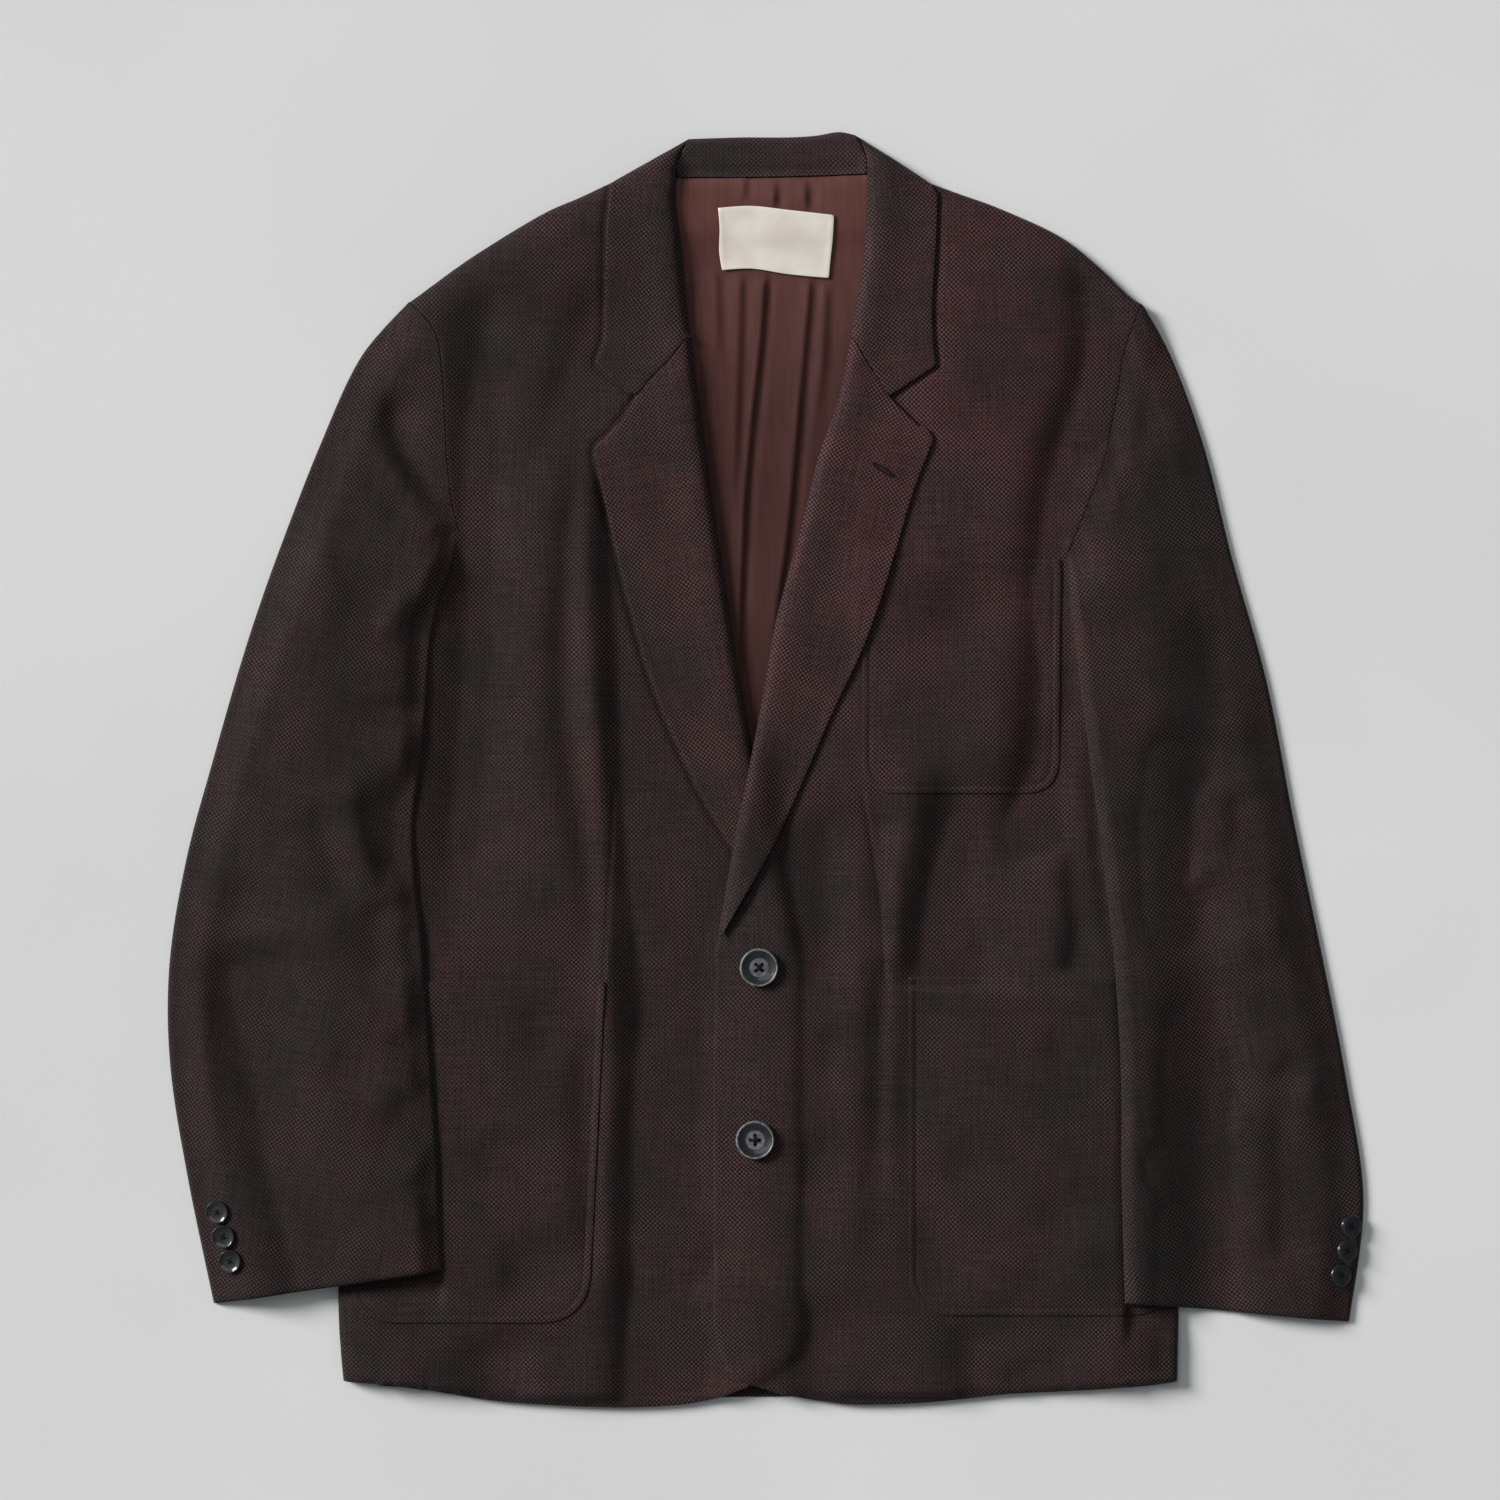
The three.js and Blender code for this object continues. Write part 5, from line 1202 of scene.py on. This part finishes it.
def make_sleeve(side, stations, arm_keys, zone, drop, inner_hollow, reach):
    """A tube in two halves. zone is the body's plan, drop the distances from its edge over
    which the sleeve comes down to the floor, inner_hollow the air beside its inner edge,
    and reach the widths over which it fills out from its outer and its inner edge."""
    on_left = side == "left"
    along_count, across_count = SLEEVE_GRID
    shares = (1 - np.cos(np.pi * np.linspace(0, 1, across_count + 1))) / 2
    shares = shares * 0.45 + np.linspace(0, 1, across_count + 1) * 0.55
    alongs = np.linspace(0, 1, along_count + 1)
    track = catmull(stations, alongs * (len(stations) - 1))
    armhole = catmull(arm_keys, shares * (len(arm_keys) - 1))
    width = np.hypot(track[:, 0] - track[:, 2], track[:, 1] - track[:, 3])

    def plan(across):
        """across is an array (along, across) of shares from the outer to the inner edge."""
        seam_x = np.interp(across, shares, armhole[:, 0])
        seam_y = np.interp(across, shares, armhole[:, 1])
        chord_x = stations[0, 0] + (stations[0, 2] - stations[0, 0]) * across
        chord_y = stations[0, 1] + (stations[0, 3] - stations[0, 1]) * across
        bend = np.maximum(track[:, 4], 0)[:, None]
        x = (track[:, 0:1] + (track[:, 2:3] - track[:, 0:1]) * across
             + bend * (seam_x - chord_x))
        y = (track[:, 1:2] + (track[:, 3:4] - track[:, 1:2]) * across
             + bend * (seam_y - chord_y))
        return x, y

    def rest(x, y):
        away = distance(zone, x, y, closed=True)[0] * np.where(inside(zone, x, y), -1, 1)
        on_pocket = 1 - smooth(y, CARRY["to"], CARRY["from"])
        height = CARRY["plain"] + (CARRY["pocket"] - CARRY["plain"]) * on_pocket
        height = height * (1 - 0.75 * smooth(y, 116, 176))
        return height * (1 - smooth(away, *drop))

    def heights(x, y, outer, inner):
        """The skin above what the sleeve rests on, with distances to its two edges."""
        r = relief(SLEEVE_FOLDS, x, y) + 0.4 * lumps(x, y, 30, 2.9) + 0.26 * lumps(x, y, 13, 6.1)
        flatter = (1 - smooth(inner, 44, 84)) * (1 - smooth(y, 60, 150))
        full = np.maximum(SLEEVE_HOLLOW + (inner_hollow - SLEEVE_HOLLOW) * flatter + r, 0.1)
        full = full * smooth(outer, 0, reach[0]) * smooth(inner, 0, reach[1])
        rim = (1 - quarter(outer, SLEEVE_RIM) / SLEEVE_RIM) * (
            1 - quarter(inner, SLEEVE_RIM) / SLEEVE_RIM)
        return 0.6 + (2 * SLEEVE_WALL + GAP - 0.6) * rim + full

    grid_across = np.repeat(shares[None, :], along_count + 1, 0)
    x, y = plan(grid_across)
    edge = np.minimum(grid_across, 1 - grid_across) * width[:, None]
    base = rest(x, y)
    skin = base + heights(x, y, grid_across * width[:, None], (1 - grid_across) * width[:, None])
    # At the armhole the sleeve comes down, or up, to the edge of the body's cloth.
    from_seam = distance(armhole, x, y)[0]
    front = front_l if on_left else front_r
    seam_level = np.repeat(sample(front["top"], armhole[:, 0], armhole[:, 1])[None, :],
                           along_count + 1, 0)
    blend = smooth(from_seam, -2, 30)
    skin = seam_level + (skin - seam_level) * blend
    cuff = np.hypot(x - x[-1:], y - y[-1:])
    skin = skin - 0.5 * quarter(cuff, 1.6) + 0.3 * np.exp(-((cuff - 3) / 6) ** 2)
    skin = np.maximum(skin, 0.6)
    inner_across = np.clip(grid_across, SLEEVE_WALL / width[:, None],
                           1 - SLEEVE_WALL / width[:, None])
    ix, iy = plan(inner_across)
    inner = np.minimum(np.maximum(skin - SLEEVE_WALL, base), skin - 0.5)
    inner = np.maximum(inner, 0)

    rows, cols = x.shape
    outer_points = np.stack([x, y, skin], -1).reshape(-1, 3)
    inner_points = np.stack([ix, iy, inner], -1).reshape(-1, 3)
    verts = np.vstack([outer_points, inner_points])
    # The grain runs down the sleeve, which leans outwards.
    uv = turned(verts[:, 0], verts[:, 1], SLEEVE_LEAN if on_left else -SLEEVE_LEAN)
    faces = slab_faces(rows, cols)
    if on_left:
        faces = [f[::-1] for f in faces]
    top = add_mesh(f"top_sleeve_{side}_cloth", verts, faces, LINEN, uv)

    # The under half lies on the ground, or on the body, within the turned edges.
    share = (SLEEVE_WALL + 2 * GAP) / width[:, None]
    ux, uy = plan(np.clip(grid_across, share, 1 - share))
    ground = rest(ux, uy)
    lift = np.maximum(relief(SLEEVE_FOLDS, ux, uy), 0) * 0.5 * smooth(edge, 6, 20)
    at_seam = (grid_across < 0.02) | (grid_across > 0.98)
    thick = np.where(at_seam, UNDER_EDGE, SLEEVE_WALL)
    under_top = np.minimum(ground + thick + lift, np.maximum(skin - 0.4, 0.4))
    under_bottom = np.minimum(ground + lift, under_top - 0.3)
    under_verts = np.vstack([np.stack([ux, uy, under_top], -1).reshape(-1, 3),
                             np.stack([ux, uy, under_bottom], -1).reshape(-1, 3)])
    under = add_mesh(f"under_sleeve_{side}_cloth", under_verts, faces, LINEN, uv)
    for obj, points, node in ((top, verts, f"top_sleeve_{side}"),
                              (under, under_verts, f"under_sleeve_{side}")):
        finish_piece(obj, [node])
    return {"x": x, "y": y, "z": skin}


def slab_faces(rows, cols):
    faces = []
    n = rows * cols
    for r in range(rows - 1):
        for c in range(cols - 1):
            a = r * cols + c
            b, d, e = a + 1, a + cols + 1, a + cols
            faces.append((a, b, d, e))
            faces.append((n + a, n + e, n + d, n + b))
    for r in range(rows - 1):
        a, e = r * cols, (r + 1) * cols
        faces.append((a, e, n + e, n + a))
        a, e = r * cols + cols - 1, (r + 1) * cols + cols - 1
        faces.append((e, a, n + a, n + e))
    for c in range(cols - 1):
        faces.append((c + 1, c, n + c, n + c + 1))
        a = (rows - 1) * cols + c
        faces.append((a, a + 1, n + a + 1, n + a))
    return faces


SKIN_R = make_sleeve("right", RIGHT_STATIONS, ARM_KEYS_R, ZONE_R, (0, 84), SLEEVE_HOLLOW,
                     (26, 16))
SKIN_L = make_sleeve("left", LEFT_STATIONS, ARM_KEYS_L, ZONE_L, (-24, 22), FLAT_HOLLOW,
                     (26, 8))


# ---------------------------------------------------------------- buttons

HOLE_SIDES = 16
CORNERS = ((1, 1), (1, -1), (-1, -1), (-1, 1))     # where a button's four holes are
BODY, RIM, SEWN, MIDDLE = range(4)                 # a button's material slots
RIM_RINGS = (3, 12)                                # the rings of its profile in the rim


def circle(radius, count, x=0.0, y=0.0):
    angles = [2 * math.pi * k / count for k in range(count)]
    return [(x + radius * math.cos(a), y + radius * math.sin(a)) for a in angles]


def ring_faces(rings, sides, closed=False):
    """Quads between rings of points, and from the last ring to the first if closed."""
    faces = []
    for k in range(rings if closed else rings - 1):
        here, after = k * sides, (k + 1) % rings * sides
        for s in range(sides):
            t = (s + 1) % sides
            faces.append((here + s, here + t, after + t, after + s))
    return faces


def tube(path, radius, sides=8):
    """A round thread along a path, with its ends closed."""
    p = np.array(path, float)
    verts = []
    for k in range(len(p)):
        run = p[min(k + 1, len(p) - 1)] - p[max(k - 1, 0)]
        run /= np.linalg.norm(run)
        side = np.cross(run, (0.13, 0.21, 0.97))
        side /= np.linalg.norm(side)
        up = np.cross(side, run)
        for s in range(sides):
            a = 2 * math.pi * s / sides
            verts.append(p[k] + (side * math.cos(a) + up * math.sin(a)) * radius)
    faces = ring_faces(len(p), sides)
    faces.append(tuple(range(sides - 1, -1, -1)))
    last = (len(p) - 1) * sides
    faces.append(tuple(range(last, last + sides)))
    return [tuple(v) for v in verts], faces


def rotate(points, turn, tilt):
    p = np.array(points, float)
    c, s = math.cos(turn), math.sin(turn)
    p = np.stack([p[:, 0] * c - p[:, 1] * s, p[:, 0] * s + p[:, 1] * c, p[:, 2]], 1)
    c, s = math.cos(tilt), math.sin(tilt)
    return np.stack([p[:, 0] * c + p[:, 2] * s, p[:, 1], -p[:, 0] * s + p[:, 2] * c], 1)


def make_button(node, centre, size, turn, tilt, rim_material, middle_material):
    """A sewn button: rounded rim, dished middle, four holes and crossed thread."""
    radius, thick, rim, dish, hole, pitch = size
    floor_z = thick - dish
    segments = 72 if radius > 9 else 48
    profile = [(radius - 1.6, 0.0), (radius - 0.6, 0.12)]
    for k in range(7):
        a = math.pi * (k / 6 - 0.5)
        profile.append((radius - 0.7 + 0.7 * math.cos(a), thick * 0.5 + thick * 0.4 * math.sin(a)))
    profile += [(radius - rim * 0.42, thick - 0.02), (radius - rim * 0.62, thick),
                (radius - rim * 0.85, thick - 0.1), (radius - rim, thick - 0.28)]
    steps = 7
    inner_r = radius - rim - 0.25
    for k in range(steps):
        t = k / (steps - 1)
        profile.append((inner_r - (inner_r - radius * 0.42) * t,
                        floor_z + (thick - 0.34 - floor_z) * (1 - t) ** 2))
    verts = [(x, y, z) for r, z in profile for x, y in circle(r, segments)]
    faces = ring_faces(len(profile), segments)
    materials = []
    for i in range(len(profile) - 1):
        # On the front buttons the rim and the middle take painted highlights as their materials.
        inner = MIDDLE if i == len(profile) - 2 else BODY
        materials += [RIM if RIM_RINGS[0] <= i < RIM_RINGS[1] else inner] * segments
    # The middle of the button with its four holes, and the flat underside.
    holes = [circle(hole, HOLE_SIDES, sx * pitch, sy * pitch) for sx, sy in CORNERS]
    points = [Vector(p) for p in circle(profile[-1][0], segments)]
    rings = [list(range(segments))]
    for ring in holes:
        start = len(points)
        points += [Vector(p) for p in ring]
        rings.append(list(range(start, start + HOLE_SIDES)))
    edges = [(r[k], r[(k + 1) % len(r)]) for r in rings for k in range(len(r))]
    made = delaunay_2d_cdt(points, edges, [], 0, 1e-5)
    start = len(verts)
    verts += [(p[0], p[1], floor_z) for p in made[0]]
    for f in made[2]:
        cx = sum(made[0][v][0] for v in f) / 3
        cy = sum(made[0][v][1] for v in f) / 3
        if any(math.hypot(cx - sx * pitch, cy - sy * pitch) < hole * 0.94
               for sx, sy in CORNERS):
            continue
        a, b, c = f
        pa, pb, pc = made[0][a], made[0][b], made[0][c]
        if (pb[0] - pa[0]) * (pc[1] - pa[1]) - (pc[0] - pa[0]) * (pb[1] - pa[1]) < 0:
            b, c = c, b
        faces.append((start + a, start + b, start + c))
        materials.append(MIDDLE)
    for ring in holes:
        start = len(verts)
        verts += [(p[0], p[1], floor_z) for p in ring] + [(p[0], p[1], 0.1) for p in ring]
        for k in range(HOLE_SIDES):
            a, b = start + k, start + (k + 1) % HOLE_SIDES
            faces.append((b, a, a + HOLE_SIDES, b + HOLE_SIDES))
        faces.append(tuple(range(start + HOLE_SIDES, start + 2 * HOLE_SIDES)))
        materials += [BODY] * (HOLE_SIDES + 1)
    start = len(verts)
    verts += [(x, y, 0.0) for x, y in circle(profile[0][0], segments)]
    faces.append(tuple(range(start + segments - 1, start - 1, -1)))
    materials.append(BODY)
    thread_r = hole * 0.42
    for k, (a, b) in enumerate((((1, 1), (-1, -1)), ((1, -1), (-1, 1)))):
        for shift in (-0.5, 0.5):
            lift = floor_z + thread_r * (1.0 + 1.2 * k)
            dx, dy = a[0] - b[0], a[1] - b[1]
            length = math.hypot(dx, dy)
            ox, oy = -dy / length * thread_r * shift * 1.7, dx / length * thread_r * shift * 1.7
            path = []
            for t in np.linspace(0, 1, 9):
                px = (a[0] + (b[0] - a[0]) * t) * pitch + ox
                py = (a[1] + (b[1] - a[1]) * t) * pitch + oy
                arch = 1 - (2 * t - 1) ** 4
                path.append((px, py, 0.6 + (lift - 0.6) * arch))
            tv, tf = tube(path, thread_r)
            start = len(verts)
            verts += tv
            faces += [tuple(v + start for v in f) for f in tf]
            materials += [SEWN] * len(tf)
    placed = rotate(verts, turn, tilt) + np.array(centre)
    base = HORN if middle_material is HORN_MIDDLE_HIGHLIGHT else HORN_DARK
    obj = add_mesh(node + "_horn", placed, faces, base)
    obj.data.materials.append(rim_material)
    obj.data.materials.append(THREAD)
    obj.data.materials.append(middle_material)
    obj.data.polygons.foreach_set("material_index", materials)
    finish_piece(obj, [node])


# Radius, thickness, rim, depth of the dish, radius of a hole and its place.
FRONT_SIZE = (11.8, 3.8, 1.4, 1.9, 1.15, 1.9)
CUFF_SIZE = (7.2, 2.3, 1.1, 0.9, 0.6, 1.1)
for node, x, y, turn in (("button_front_upper", -4.3, -121.4, 0.0),
                         ("button_front_lower", -6.7, -226.3, math.pi / 4)):
    around = np.linspace(0, 2 * math.pi, 24)
    ground = float(np.max(front_left_top(x + 11 * np.cos(around), y + 11 * np.sin(around))))
    make_button(node, (x, y, max(ground + 0.2, 0)), FRONT_SIZE, turn, 0.0, HORN_RIM_HIGHLIGHT,
                HORN_MIDDLE_HIGHLIGHT)

for node, skin, x, y, tilt in (
        ("button_cuff_right_1", SKIN_R, -334.3, -270.6, -0.2),
        ("button_cuff_right_2", SKIN_R, -330.6, -285.6, -0.12),
        ("button_cuff_right_3", SKIN_R, -326.3, -300.4, -0.24),
        ("button_cuff_left_1", SKIN_L, 356.2, -279.4, 0.46),
        ("button_cuff_left_2", SKIN_L, 353.8, -294.4, 0.46),
        ("button_cuff_left_3", SKIN_L, 350.0, -309.2, 0.42)):
    near = np.hypot(skin["x"] - x, skin["y"] - y) < 7.6
    seat = float(np.max(skin["z"][near] + math.tan(tilt) * (skin["x"][near] - x)))
    make_button(node, (x, y, seat + 0.1), CUFF_SIZE, 0.35, tilt, HORN_DARK, HORN_DARK)


# ---------------------------------------------------------------- the lapel's buttonhole

def make_buttonhole():
    a, b = np.array((65.3, 185.4)), np.array((76.9, 178.1))
    run = (b - a) / np.linalg.norm(b - a)
    side = np.array((-run[1], run[0]))
    verts = []
    count = 46
    path = []
    for k in range(count):
        angle = 2 * math.pi * k / count
        along = math.cos(angle) * (np.linalg.norm(b - a) / 2 + 0.6)
        across = math.sin(angle) * 1.1
        p = (a + b) / 2 + run * along + side * across
        path.append((p[0], p[1]))
    path = np.array(path)
    z = LAPEL_TOP_L(path[:, 0], path[:, 1])
    sides = 6
    for k in range(count):
        prev, nxt = path[k - 1], path[(k + 1) % count]
        t = (nxt - prev) / np.linalg.norm(nxt - prev)
        out = np.array((t[1], -t[0]))
        for s in range(sides):
            w = 2 * math.pi * s / sides
            r = 0.62 + 0.1 * (k % 2)
            p = path[k] + out * math.cos(w) * r
            verts.append((p[0], p[1], z[k] + 0.1 + math.sin(w) * r * 0.7))
    faces = ring_faces(count, sides, closed=True)
    finish_piece(add_mesh("lapel_buttonhole", verts, faces, THREAD))


make_buttonhole()


# ---------------------------------------------------------------- stage, light, camera

bpy.ops.mesh.primitive_plane_add(size=6.0, location=(0, 0, 0))
floor = bpy.context.object
floor.name = "floor"
floor.location.z = -0.0002
floor.data.materials.append(floor_board())


def area_light(name, place, target, size, energy):
    data = bpy.data.lights.new(name, "AREA")
    data.shape = "DISK"
    data.size = size
    data.energy = energy
    obj = bpy.data.objects.new(name, data)
    obj.location = place
    obj.rotation_euler = (Vector(target) - Vector(place)).to_track_quat("-Z", "Y").to_euler()
    bpy.context.scene.collection.objects.link(obj)


sun_data = bpy.data.lights.new("key", "SUN")
sun_data.energy = 5.35
sun_data.color = (1.0, 0.972, 0.966)
sun_data.angle = math.radians(22)
sun = bpy.data.objects.new("key", sun_data)
TO_SUN = Vector((-0.75, 0.36, 0.43))
sun.location = TO_SUN * 4
sun.rotation_euler = TO_SUN.to_track_quat("Z", "Y").to_euler()
bpy.context.scene.collection.objects.link(sun)
area_light("top", (-0.8, 1.2, 3.2), (0, 0, 0), 2.0, 16)

world = bpy.context.scene.world or bpy.data.worlds.new("studio")
bpy.context.scene.world = world
world.use_nodes = True
background = next(n for n in world.node_tree.nodes if n.type == "BACKGROUND")
background.inputs["Color"].default_value = (0.88, 0.97, 1.0, 1.0)
background.inputs["Strength"].default_value = 0.25

bpy.context.scene.view_settings.view_transform = "Standard"

camera_data = bpy.data.cameras.new("camera")
camera = bpy.data.objects.new("camera", camera_data)
bpy.context.scene.collection.objects.link(camera)
CAMERA_HEIGHT = 3.4
FRAME_WIDTH = 0.915        # what the camera sees, at 6 mm above the floor
VIEW_CENTRE = (-9.8, 11.0)
camera.location = ((VIEW_CENTRE[0] + SHIFT_X) * MM, (VIEW_CENTRE[1] + SHIFT_Y) * MM,
                   CAMERA_HEIGHT)
camera.rotation_euler = (0, 0, 0)
camera_data.sensor_width = 36
camera_data.lens = camera_data.sensor_width * (CAMERA_HEIGHT - 0.006) / FRAME_WIDTH
camera_data.clip_end = 30
bpy.context.scene.camera = camera
